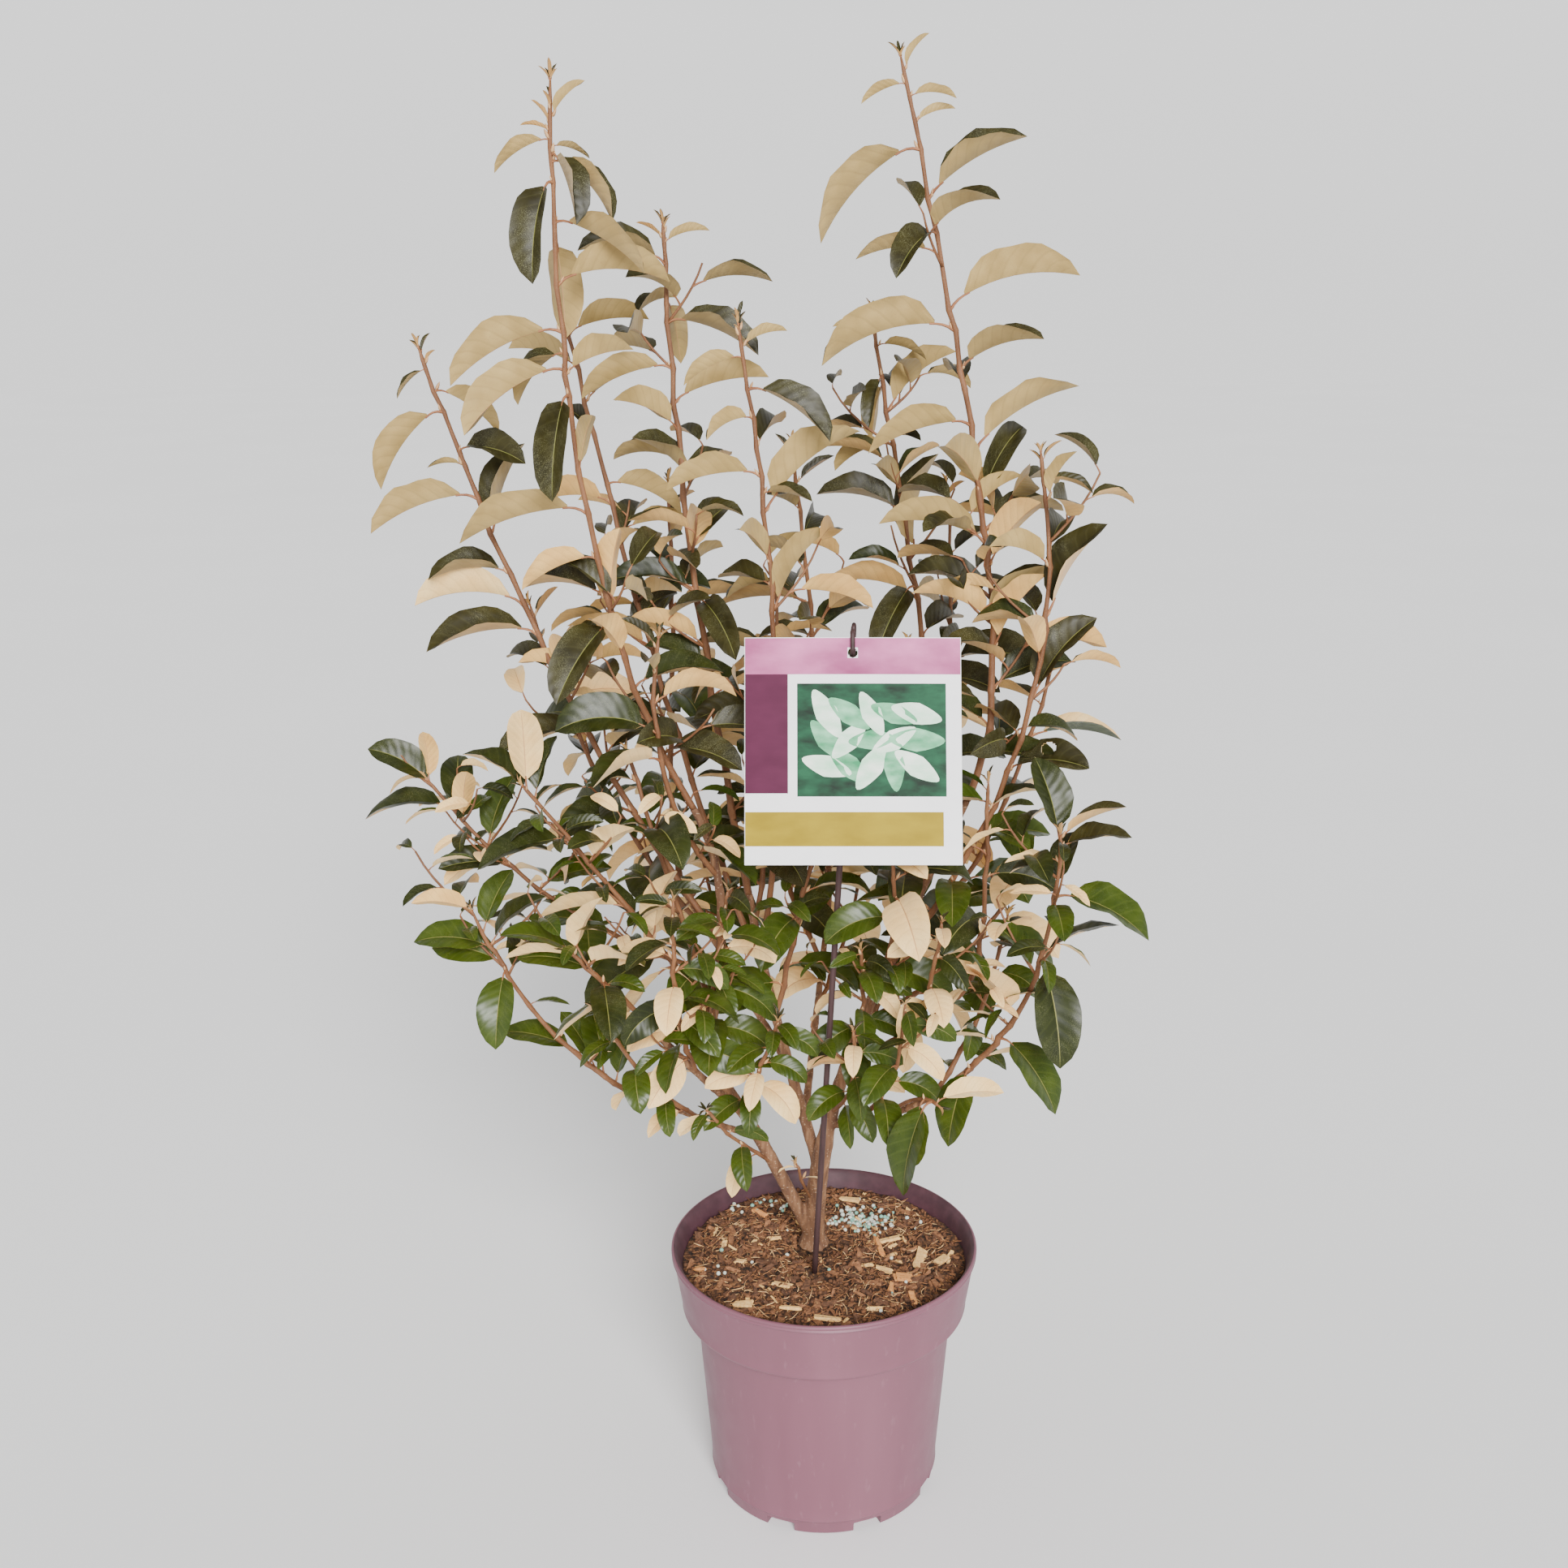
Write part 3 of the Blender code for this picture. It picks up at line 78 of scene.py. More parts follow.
# Pot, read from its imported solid
POT_LOW, POT_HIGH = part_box("pot")
POT_HEIGHT = POT_HIGH.z
RIM_RADIUS = 0.115
COLLAR_TOP_RADIUS = 0.1132
COLLAR_FOOT_RADIUS = 0.1073
COLLAR_FOOT_HEIGHT = 0.1474
BODY_TOP_RADIUS = 0.0962
BODY_TOP_HEIGHT = 0.141
BODY_FOOT_RADIUS = 0.0862
BODY_FOOT_HEIGHT = 0.0105
FOOT_RADIUS = 0.0848
FLOOR_THICKNESS = 0.010
WALL = 0.0020
POT_STEPS = 144
NOTCH_COUNT = 8

# Filling
SOIL_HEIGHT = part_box("soil")[1].z
SOIL_STEPS = 220
SOIL_RINGS = 92
CHIP_COUNT = 520
FIBRE_COUNT = 620
STRAW_COUNT = 460
CRUMB_COUNT = 1500
GRANULE_COUNT = 170

# Larger flakes of wood on the mix: place, length, breadth and look
WOOD_CHIPS = (
    (0.043, 0.019, 0.030, 0.0060, 2), (0.072, -0.008, 0.021, 0.0075, 2), (0.089, -0.009, 0.012, 0.0075, 2),
    (0.062, -0.033, 0.017, 0.0090, 3), (0.044, -0.023, 0.013, 0.0040, 2), (-0.058, -0.069, 0.013, 0.0070, 2),
    (0.002, -0.087, 0.019, 0.0065, 2), (0.049, -0.048, 0.012, 0.0045, 3), (0.064, -0.060, 0.012, 0.0050, 3),
    (-0.092, -0.021, 0.008, 0.0050, 3), (-0.031, -0.043, 0.015, 0.0050, 2), (-0.024, -0.076, 0.014, 0.0045, 2),
    (0.042, 0.010, 0.020, 0.0045, 3), (0.020, 0.078, 0.014, 0.0050, 2), (-0.050, 0.060, 0.012, 0.0050, 3),
)

# Trunk
TRUNK_FOOT = Vector((-0.008, 0.018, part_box("trunk")[0].z))
TRUNK_TIP = Vector((0.0, 0.004, 0.272))
TRUNK_KNEE = Vector((-0.006, 0.008, 0.235))
TRUNK_RADII = (0.0088, 0.0070)
FLARE_RADIUS = 0.0130
FLARE_SHARE = 0.18
TWIG_TIP_RADIUS = 0.0011
SHOOT_TAPER = 0.55
ZIGZAG = 0.0011

# Leaves, as shares of the length from the twig's axis to the tip
PETIOLE_SHARE = 0.15
LEAF_HALF_WIDTH = 0.225
BLADE_THICKNESS = 0.0005
RIB_SHARE = 0.026
BLADE_ROWS = 9
STALK_SIDES = 5
SPIRAL_TURN = math.radians(137.5)
LOW_CROWN = 0.42
HIGH_CROWN = 0.70
LOWEST_LEAF = SOIL_HEIGHT + 0.045
GNAWED_LEAF = "18_13"
GNAWED = ((0.45, -0.12, 0.29, 0.19), (1.0, -0.60, 0.48, 0.24))
VEIN_PAIRS = 8
VEIN_TURN = -101
BUD_SHARE = 0.8
TURNED_SHARE = 0.17
TURNED_RIGHT = 0.44
FINER_LEAVES = 1.45
FINER_RIGHT = 1.05
FINER_SIZE = 0.80

# Label
STICK_FOOT = Vector((-0.007, -0.028, SOIL_HEIGHT + 0.0004))
STICK_TOP = Vector((0.0195, -0.0555, 0.6690))
STICK_RADIUS = 0.0022
HOOK_RADIUS = 0.0016
CARD_TOP = Vector((0.0185, -0.0610, 0.6680))
CARD_FOOT = Vector((0.0190, -0.1120, 0.5300))
CARD_WIDTH = 0.140
CARD_HEIGHT = (CARD_TOP - CARD_FOOT).length
CARD_THICKNESS = 0.0008
CARD_HOLE_DROP = 0.010
CARD_HOLE_RADIUS = 0.0032
CARD_BOW = 0.0012

Bough = namedtuple("Bough", "name carrier at knee tip foot_radius tip_radius")
BOUGHS = (
    Bough("stem_left", "trunk", 0.06, (-0.046, -0.006, 0.285), (-0.074, -0.020, 0.335), 0.0054, 0.0045),
    Bough("bough_right", "trunk", 1.00, (0.032, 0.000, 0.400), (0.100, 0.000, 0.540), 0.0058, 0.0030),
    Bough("bough_centre", "trunk", 0.80, (-0.042, 0.042, 0.370), (-0.055, 0.030, 0.460), 0.0048, 0.0031),
    Bough("bough_left", "stem_left", 1.00, (-0.045, -0.012, 0.450), (-0.090, -0.020, 0.540), 0.0043, 0.0028),
    Bough("bough_left_out", "stem_left", 0.78, (-0.100, -0.052, 0.366), (-0.128, -0.062, 0.405), 0.0031, 0.0026),
    Bough("bough_low_left", "stem_left", 0.66, (-0.090, -0.018, 0.303), (-0.131, -0.030, 0.328), 0.0027, 0.0023),
    Bough("bough_low_right", "bough_right", 0.10, (0.060, -0.024, 0.305), (0.100, -0.042, 0.352), 0.0030, 0.0025),
    Bough("bough_right_out", "bough_right", 0.34, (0.068, -0.006, 0.368), (0.094, -0.010, 0.394), 0.0029, 0.0025),
    Bough("bough_back_right", "bough_right", 0.22, (0.048, 0.056, 0.380), (0.074, 0.082, 0.440), 0.0035, 0.0026),
    Bough("bough_back_left", "bough_centre", 0.42, (-0.064, 0.078, 0.370), (-0.102, 0.104, 0.425), 0.0034, 0.0026),
    Bough("bough_back", "bough_centre", 0.22, (-0.006, 0.074, 0.345), (0.002, 0.112, 0.405), 0.0032, 0.0025),
)

# Leaves of the eight tall shoots, as the photograph shows them: place along the shoot, compass side in degrees
# (0 right, 90 away, 180 left, 270 near), slope of the blade, its length in millimetres, and the roll that turns
# its underside to the front
RIGHT_TALL = (
    (0.99, 10, 52, 24, 20), (0.98, 185, -27, 27, 25), (0.97, 350, -7, 27, 25), (0.95, 10, 15, 25, 40),
    (0.93, 190, -48, 76, 12), (0.89, 345, 27, 62, -10), (0.86, 240, -35, 50, -25), (0.83, 232, -12, 52, 10),
    (0.79, 5, 9, 77, 25), (0.77, 188, -20, 80, 22), (0.73, 325, 14, 58, -8), (0.71, 100, 5, 45, 0),
    (0.67, 195, -18, 64, 25), (0.64, 0, 28, 70, 22), (0.59, 238, 30, 55, 30), (0.58, 55, 40, 58, -40),
    (0.54, 20, 4, 55, -10), (0.52, 182, 6, 66, 25), (0.49, 318, 45, 55, 35), (0.44, 162, 8, 54, -30),
    (0.40, 200, 18, 56, 25), (0.36, 325, 52, 58, 22), (0.28, 20, 10, 55, -25), (0.20, 140, 5, 52, -10),
    (0.13, 330, -5, 52, -30),
)
LEFT_TALL = (
    (0.985, 120, 60, 10, 0), (0.98, 250, 50, 12, 0), (0.975, 0, 42, 26, 20), (0.97, 180, 50, 16, 10),
    (0.965, 175, 8, 17, 20), (0.96, 190, -34, 35, 20), (0.955, 335, -20, 24, 10), (0.95, 300, -60, 46, 20),
    (0.945, 340, -48, 47, 15), (0.93, 250, -72, 60, 0), (0.90, 350, -33, 56, 15), (0.885, 90, -72, 58, 0),
    (0.85, 10, -4, 62, 25), (0.81, 190, -30, 68, 25), (0.79, 150, -45, 46, -30), (0.775, 185, -37, 68, 25),
    (0.77, 335, 14, 46, 35), (0.75, 258, -70, 64, -15), (0.67, 300, 55, 38, 20), (0.62, 185, -18, 74, 25),
    (0.56, 195, -25, 46, 25), (0.52, 190, -14, 52, 20), (0.50, 160, -2, 55, -30), (0.48, 310, 76, 50, 15),
    (0.46, 230, -45, 62, -25), (0.40, 240, 38, 42, 20), (0.34, 20, 0, 55, -20), (0.26, 170, -5, 55, 15),
    (0.18, 330, -10, 55, -25),
)
LEFT_DARK = (
    (0.99, 60, 50, 12, 0), (0.985, 240, 45, 12, 0), (0.96, 20, 5, 50, 25), (0.93, 170, 10, 46, 20),
    (0.90, 30, 20, 48, -15), (0.87, 130, 20, 34, -30), (0.82, 350, -25, 52, 30), (0.80, 190, -5, 50, 20),
    (0.76, 70, 20, 44, 0), (0.70, 150, 5, 44, -25), (0.69, 320, 10, 40, 20), (0.63, 195, 14, 55, 25),
    (0.57, 20, -5, 55, -15), (0.51, 220, -5, 52, -10), (0.44, 80, 0, 50, 0), (0.37, 340, -8, 54, -20),
    (0.30, 180, -5, 54, 10), (0.22, 45, -5, 50, -20),
)
CENTRE_LEFT = (
    (0.99, 20, 65, 11, 0), (0.985, 175, 27, 18, 10), (0.98, 5, 11, 28, 25), (0.96, 200, 3, 52, -22),
    (0.92, 80, -62, 44, 0), (0.90, 350, -24, 57, -14), (0.85, 188, -23, 56, 25), (0.81, 8, 10, 58, 30),
    (0.78, 218, 20, 46, 40), (0.74, 160, -5, 46, 0), (0.70, 50, 20, 50, -10), (0.62, 280, 45, 44, 25),
    (0.57, 185, 4, 54, -28), (0.56, 305, -37, 56, -35), (0.49, 190, 16, 50, 25), (0.46, 165, 10, 42, -28),
    (0.41, 25, 0, 54, 15), (0.35, 205, -8, 52, -15), (0.28, 120, -5, 50, 0), (0.20, 340, -10, 52, -20),
)
CENTRE = (
    (0.995, 60, 75, 17, 0), (0.99, 200, 60, 8, 0), (0.98, 10, 14, 28, 25), (0.97, 190, -28, 38, 30),
    (0.94, 345, -36, 56, -30), (0.91, 228, -20, 38, 35), (0.88, 70, 10, 46, 0), (0.85, 185, -13, 56, 28),
    (0.83, 330, -8, 34, 0), (0.81, 10, 36, 72, 25), (0.78, 182, 2, 62, -30), (0.75, 240, 30, 44, 25),
    (0.72, 150, -2, 40, -25), (0.69, 20, 50, 58, 20), (0.67, 300, 70, 58, 15), (0.60, 40, 0, 52, -20),
    (0.53, 200, 0, 54, -15), (0.45, 100, -5, 50, 0), (0.37, 0, -5, 52, -10), (0.28, 200, -5, 52, 0),
)
OUTER_LEFT = (
    (0.995, 60, 50, 14, 0), (0.99, 150, 45, 14, 0), (0.985, 330, 40, 12, 0), (0.98, 205, -47, 24, -10),
    (0.96, 350, -38, 44, 28), (0.94, 195, -55, 58, 22), (0.90, 335, -12, 46, -32), (0.885, 210, -5, 22, 20),
    (0.85, 185, -23, 66, 25), (0.81, 45, 60, 56, 15), (0.76, 188, -8, 48, -12), (0.72, 182, -6, 66, 25),
    (0.68, 190, -12, 66, -10), (0.64, 305, 20, 40, 25), (0.58, 60, 0, 50, -20), (0.52, 200, -12, 56, -15),
    (0.45, 100, -8, 50, 0), (0.37, 220, -12, 54, -20), (0.29, 20, -10, 50, -10),
)
RIGHT_BACK = (
    (0.995, 30, 53, 13, 0), (0.99, 160, 60, 9, 0), (0.98, 178, 2, 26, 25), (0.965, 350, -20, 31, 25),
    (0.93, 250, -55, 38, 0), (0.92, 100, -58, 44, 0), (0.89, 15, 36, 55, 30), (0.85, 170, -30, 40, 20),
    (0.79, 240, 25, 42, 30), (0.76, 175, 8, 56, -30), (0.70, 20, 74, 66, 20), (0.66, 230, -48, 58, -40),
    (0.64, 180, 4, 62, 25), (0.58, 60, 0, 50, -15), (0.50, 330, -5, 52, -25), (0.42, 150, -5, 52, 0),
    (0.34, 20, -5, 52, -20), (0.25, 100, -8, 50, 0),
)
RIGHT_FRONT = (
    (0.99, 10, 42, 16, 0), (0.985, 150, 40, 12, 0), (0.98, 165, -28, 22, 20), (0.965, 345, -18, 29, -25),
    (0.94, 320, 55, 34, 10), (0.885, 5, 48, 57, 20), (0.87, 70, 10, 50, -20), (0.85, 205, 15, 44, 28),
    (0.78, 5, 56, 62, -10), (0.76, 150, -5, 46, -25), (0.71, 245, 40, 46, 25), (0.65, 10, 48, 60, -22),
    (0.58, 120, 0, 50, 0), (0.52, 330, 5, 54, -28), (0.45, 190, -5, 52, -12), (0.37, 20, -5, 52, -20),
    (0.28, 270, -20, 50, -10), (0.20, 160, -5, 50, 0),
)
LOW_RIGHT = (
    (0.995, 350, 27, 42, 15), (0.99, 125, 58, 50, 0), (0.97, 0, 5, 42, -12), (0.94, 182, -4, 32, 30),
    (0.90, 182, 16, 48, -35), (0.87, 60, 35, 42, 0), (0.85, 348, -27, 60, -22), (0.83, 272, -22, 36, 0),
    (0.66, 5, 19, 50, 12), (0.645, 292, -66, 66, 0), (0.60, 150, 38, 42, 0), (0.41, 212, 46, 54, 22),
    (0.36, 185, 12, 32, 15), (0.28, 318, -48, 58, -8), (0.25, 170, -5, 34, 20), (0.10, 8, -8, 50, 30),
    (0.04, 242, -62, 52, 0),
)
FAR_LEFT = (
    (0.995, 265, 78, 36, 0), (0.985, 180, 27, 48, -40), (0.93, 185, -12, 58, -15), (0.915, 100, 35, 48, 0),
    (0.90, 300, 65, 40, 0), (0.83, 60, 50, 50, 0), (0.80, 190, -32, 40, 60), (0.76, 200, 0, 48, -30),
    (0.68, 20, 5, 50, -20), (0.62, 180, -8, 52, 25), (0.54, 280, -20, 50, 0), (0.46, 160, 0, 52, -25),
    (0.37, 340, -5, 50, 20), (0.28, 200, -8, 52, -15),
)
LOW_LEFT = (
    (0.995, 200, 12, 38, 60), (0.99, 182, 22, 46, -40), (0.94, 60, 45, 42, 0), (0.90, 20, 35, 44, 0),
    (0.88, 180, 0, 50, -35), (0.83, 175, 6, 46, -30), (0.815, 262, -60, 50, 0), (0.80, 60, 20, 40, 0),
    (0.68, 350, 0, 26, 0), (0.52, 30, 50, 14, 0), (0.42, 180, 12, 48, -5), (0.35, 330, 30, 22, 30),
    (0.30, 150, 50, 42, 0), (0.25, 120, 60, 48, 0), (0.18, 45, 60, 42, 0), (0.10, 10, 5, 46, 30),
)
LEFT_REACH = (
    (0.99, 268, 80, 50, 0), (0.98, 170, 25, 46, -15), (0.97, 60, 50, 40, 0), (0.86, 190, -20, 57, -20),
    (0.81, 185, 12, 46, -35), (0.80, 330, 35, 44, 30), (0.64, 195, -6, 54, 35), (0.58, 150, 10, 50, 0),
    (0.55, 182, 22, 54, -38), (0.52, 320, 65, 52, 10), (0.43, 205, -30, 58, -25), (0.38, 200, -55, 60, 40),
    (0.30, 330, 0, 50, -15), (0.22, 180, -5, 48, -20), (0.14, 300, 10, 50, 10),
)
RIGHT_HANGING = (
    (0.90, 222, -74, 62, 2),
    (0.78, 236, -80, 44, 4),
    (0.97, 4, 4, 42, 62),
)
LEFT_MID = (
    (0.99, 200, 18, 46, -20), (0.98, 330, 60, 44, 10), (0.92, 182, -5, 44, 40), (0.82, 320, 10, 50, 30),
    (0.72, 175, 5, 48, -30), (0.60, 285, -30, 48, 0), (0.46, 60, 20, 46, 0), (0.30, 215, -20, 50, 25),
)

# A shoot's leaves are a number, set on a spiral, or a word of sides, from foot to tip
Shoot = namedtuple("Shoot", "name carrier at knee tip foot_radius leaves leaf_length seed")
SHOOTS = (
    Shoot("shoot_left_tall", "bough_left", 1.00, (-0.172, -0.065, 0.700), (-0.163, -0.060, 1.005),
          0.0027, LEFT_TALL, 0.074, 61),
    Shoot("shoot_right_tall", "bough_right", 1.00, (0.114, 0.000, 0.740), (0.048, 0.000, 1.024),
          0.0029, RIGHT_TALL, 0.078, 12),
    Shoot("shoot_left_dark", "bough_centre", 0.72, (-0.125, 0.060, 0.600), (-0.180, 0.060, 0.885),
          0.0026, LEFT_DARK, 0.070, 13),
    Shoot("shoot_centre_left", "bough_centre", 1.00, (-0.100, 0.020, 0.700), (-0.105, 0.020, 0.925),
          0.0029, CENTRE_LEFT, 0.072, 14),
    Shoot("shoot_centre", "bough_centre", 0.80, (-0.016, -0.006, 0.620), (-0.055, -0.015, 0.862),
          0.0026, CENTRE, 0.070, 15),
    Shoot("shoot_outer_left", "bough_left", 0.60, (-0.185, -0.010, 0.600), (-0.262, -0.010, 0.848),
          0.0026, OUTER_LEFT, 0.070, 16),
    Shoot("shoot_right_back", "bough_back_right", 1.00, (0.066, 0.062, 0.650), (0.033, 0.050, 0.868),
          0.0026, RIGHT_BACK, 0.066, 17),
    Shoot("shoot_right_front", "bough_right", 0.62, (0.175, -0.040, 0.600), (0.140, -0.030, 0.783),
          0.0026, RIGHT_FRONT, 0.064, 18),
    Shoot("shoot_back_tall", "bough_back", 1.00, (-0.003, 0.102, 0.580), (-0.022, 0.090, 0.775),
          0.0025, 16, 0.074, 19),
    Shoot("shoot_back_right_tall", "bough_back_right", 0.60, (0.108, 0.120, 0.550), (0.090, 0.126, 0.745),
          0.0024, 14, 0.074, 20),
    Shoot("shoot_back_left_tall", "bough_back_left", 1.00, (-0.108, 0.128, 0.560), (-0.115, 0.130, 0.745),
          0.0026, 15, 0.074, 21),
    Shoot("shoot_far_left_back", "bough_back_left", 0.86, (-0.175, 0.100, 0.500), (-0.215, 0.095, 0.660),
          0.0023, 12, 0.072, 22),
    Shoot("shoot_far_right_back", "bough_back_right", 0.64, (0.140, 0.078, 0.480), (0.170, 0.075, 0.640),
          0.0023, 12, 0.069, 23),
    Shoot("shoot_left_reach", "bough_left", 0.32, (-0.118, -0.050, 0.460), (-0.196, -0.080, 0.573),
          0.0025, LEFT_REACH, 0.065, 52),
    Shoot("shoot_left_mid", "bough_left_out", 1.00, (-0.150, -0.078, 0.434), (-0.168, -0.086, 0.459),
          0.0022, LEFT_MID, 0.065, 24),
    Shoot("shoot_far_left", "bough_back_left", 0.62, (-0.205, 0.056, 0.420), (-0.290, 0.060, 0.537),
          0.0022, FAR_LEFT, 0.067, 25),
    Shoot("shoot_low_left", "bough_low_left", 1.00, (-0.202, -0.050, 0.384), (-0.238, -0.060, 0.479),
          0.0022, LOW_LEFT, 0.063, 27),
    Shoot("shoot_front_left", "bough_left_out", 0.52, (-0.104, -0.092, 0.420), (-0.098, -0.104, 0.502),
          0.0021, "lRFLrlRFRL", 0.060, 27),
    Shoot("shoot_low_right", "bough_low_right", 1.00, (0.156, -0.078, 0.430), (0.154, -0.090, 0.542),
          0.0024, LOW_RIGHT, 0.069, 28),
    Shoot("shoot_right_mid", "bough_right_out", 1.00, (0.114, -0.024, 0.460), (0.112, -0.028, 0.560),
          0.0024, "FrLRlFRLrRL", 0.060, 29),
    Shoot("shoot_right_hanging", "bough_low_right", 0.50, (0.064, -0.066, 0.350), (0.078, -0.082, 0.346),
          0.0018, RIGHT_HANGING, 0.060, 130),
    Shoot("shoot_front_right", "bough_right_out", 0.60, (0.074, -0.060, 0.410), (0.078, -0.084, 0.480),
          0.0021, "FrRlFRrLF", 0.058, 31),
    Shoot("shoot_front_centre", "bough_right", 0.36, (0.032, -0.022, 0.385), (0.026, -0.034, 0.440),
          0.0020, "RFrlRFLr", 0.054, 32),
    Shoot("shoot_front_low", "stem_left", 0.84, (-0.046, -0.052, 0.350), (-0.032, -0.060, 0.398),
          0.0020, "lRFrLFRl", 0.054, 33),
    Shoot("shoot_inner_left", "bough_left", 0.34, (-0.104, -0.046, 0.490), (-0.132, -0.040, 0.585),
          0.0023, 10, 0.065, 34),
    Shoot("shoot_inner_centre", "bough_centre", 0.60, (-0.012, 0.014, 0.470), (0.010, -0.004, 0.600),
          0.0023, 11, 0.065, 35),
    Shoot("shoot_inner_right", "bough_right", 0.74, (0.060, -0.018, 0.540), (0.056, -0.020, 0.655),
          0.0023, 10, 0.065, 36),
    Shoot("shoot_low_right_back", "bough_back_right", 0.46, (0.124, 0.062, 0.390), (0.154, 0.070, 0.485),
          0.0022, 11, 0.058, 37),
    Shoot("shoot_low_back", "bough_back", 0.66, (0.024, 0.134, 0.385), (0.032, 0.164, 0.465),
          0.0021, 11, 0.063, 38),
    Shoot("shoot_low_back_left", "bough_back_left", 0.48, (-0.080, 0.130, 0.370), (-0.100, 0.166, 0.455),
          0.0021, 11, 0.063, 39),
    Shoot("shoot_back_mid_left", "bough_back", 0.84, (-0.052, 0.150, 0.460), (-0.046, 0.156, 0.600),
          0.0023, 11, 0.067, 40),
    Shoot("shoot_back_mid_right", "bough_back_right", 0.92, (0.062, 0.142, 0.480), (0.050, 0.154, 0.610),
          0.0023, 11, 0.067, 41),
    Shoot("shoot_low_left_front", "bough_low_left", 0.62, (-0.124, -0.070, 0.350), (-0.152, -0.092, 0.420),
          0.0020, "lRFLrFR", 0.050, 42),
    Shoot("shoot_low_right_mid", "bough_low_right", 0.80, (0.120, -0.008, 0.380), (0.130, -0.006, 0.455),
          0.0021, "BRFLrRb", 0.050, 43),
    Shoot("shoot_front_mid_left", "bough_left", 0.24, (-0.078, -0.056, 0.410), (-0.064, -0.078, 0.500),
          0.0021, "RlFrLRFlR", 0.063, 46),
    Shoot("shoot_front_mid_right", "bough_right", 0.53, (0.056, -0.050, 0.460), (0.044, -0.070, 0.535),
          0.0021, "lRFrLFRrL", 0.063, 47),
    Shoot("shoot_front_low_centre", "bough_right", 0.16, (0.026, -0.046, 0.335), (0.020, -0.070, 0.395),
          0.0018, "RFrlRFL", 0.056, 48),
    Shoot("shoot_front_low_right", "bough_low_right", 0.30, (0.056, -0.070, 0.360), (0.054, -0.094, 0.425),
          0.0018, "rFRlrRF", 0.058, 49),
    Shoot("shoot_inner_back", "bough_centre", 0.90, (-0.030, 0.066, 0.560), (-0.034, 0.070, 0.680),
          0.0023, 12, 0.069, 50),
    Shoot("shoot_inner_mid_left", "bough_left", 0.80, (-0.122, -0.066, 0.570), (-0.106, -0.074, 0.670),
          0.0022, "rLFRlLRFL", 0.069, 51),
    Shoot("twig_stem_left", "stem_left", 0.50, (-0.070, -0.040, 0.300), (-0.082, -0.058, 0.330),
          0.0016, "lFRLl", 0.038, 44),
    Shoot("sprout_foot", "trunk", 0.42, (-0.016, -0.006, 0.245), (-0.020, -0.010, 0.262),
          0.0012, "lRL", 0.020, 45),
)
SIDE_ANGLES = {"R": 0, "b": 45, "B": 90, "d": 135, "L": 180, "l": 225, "F": 270, "r": 315}


# Building blocks


def blend(low, high, share):
    return low + (high - low) * max(0.0, min(1.0, share))


def piece_from(name, shape, looks, smooth=True):
    """A finished piece from a bmesh, at the origin, riding on the plant."""
    data = bpy.data.meshes.new(name)
    shape.to_mesh(data)
    shape.free()
    return piece_of(name, data, looks, smooth)


def piece_of(name, data, looks, smooth=True):
    for look in looks:
        data.materials.append(look)
    if smooth:
        for face in data.polygons:
            face.use_smooth = True
    made = bpy.data.objects.new(name, data)
    bpy.context.scene.collection.objects.link(made)
    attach(made, "root")
    return made


def evaluated_mesh(thing):
    graph = bpy.context.evaluated_depsgraph_get()
    return bpy.data.meshes.new_from_object(thing.evaluated_get(graph))


def loose_object(name, data):
    made = bpy.data.objects.new(name, data)
    bpy.context.scene.collection.objects.link(made)
    return made


def drop(thing):
    bpy.data.objects.remove(thing, do_unlink=True)


def tube_bundle(name, routes, sides_level):
    """One mesh of round tubes. Each route is a list of (point, radius)."""
    data = bpy.data.curves.new(name, "CURVE")
    data.dimensions = "3D"
    data.bevel_depth = 1.0
    data.bevel_resolution = sides_level
    data.use_fill_caps = True
    for route in routes:
        line = data.splines.new("POLY")
        line.points.add(len(route) - 1)
        for point, (place, radius) in zip(line.points, route):
            point.co = (*place, 1.0)
            point.radius = radius
    guide = loose_object(name, data)
    made = evaluated_mesh(guide)
    drop(guide)
    shape = bmesh.new()
    shape.from_mesh(made)
    bmesh.ops.remove_doubles(shape, verts=shape.verts, dist=1e-6)
    bmesh.ops.recalc_face_normals(shape, faces=shape.faces)
    shape.to_mesh(made)
    shape.free()
    return made


# Materials


def add_node(look, kind, **settings):
    made = look.node_tree.nodes.new(kind)
    for key, value in settings.items():
        if key in made.inputs:
            made.inputs[key].default_value = value
        else:
            setattr(made, key, value)
    return made


def principled(look):
    return look.node_tree.nodes["Principled BSDF"]


def connect(look, source, target):
    look.node_tree.links.new(source, target)


def new_look(name, colour, roughness, **shader):
    made = bpy.data.materials.new(name)
    made.use_nodes = True
    surface = principled(made)
    surface.inputs["Base Color"].default_value = (*colour, 1.0)
    surface.inputs["Roughness"].default_value = roughness
    for key, value in shader.items():
        surface.inputs[key.replace("_", " ")].default_value = value
    return made


def pattern(look, scale, detail=2.0, stretch=(1.0, 1.0, 1.0), source="Object", kind="ShaderNodeTexNoise"):
    """Noise over the piece's own coordinates, stretched along its axes."""
    place = add_node(look, "ShaderNodeTexCoord")
    mapping = add_node(look, "ShaderNodeMapping", Scale=stretch)
    connect(look, place.outputs[source], mapping.inputs["Vector"])
    made = add_node(look, kind, Scale=scale)
    if "Detail" in made.inputs:
        made.inputs["Detail"].default_value = detail
    connect(look, mapping.outputs["Vector"], made.inputs["Vector"])
    return made.outputs[0]


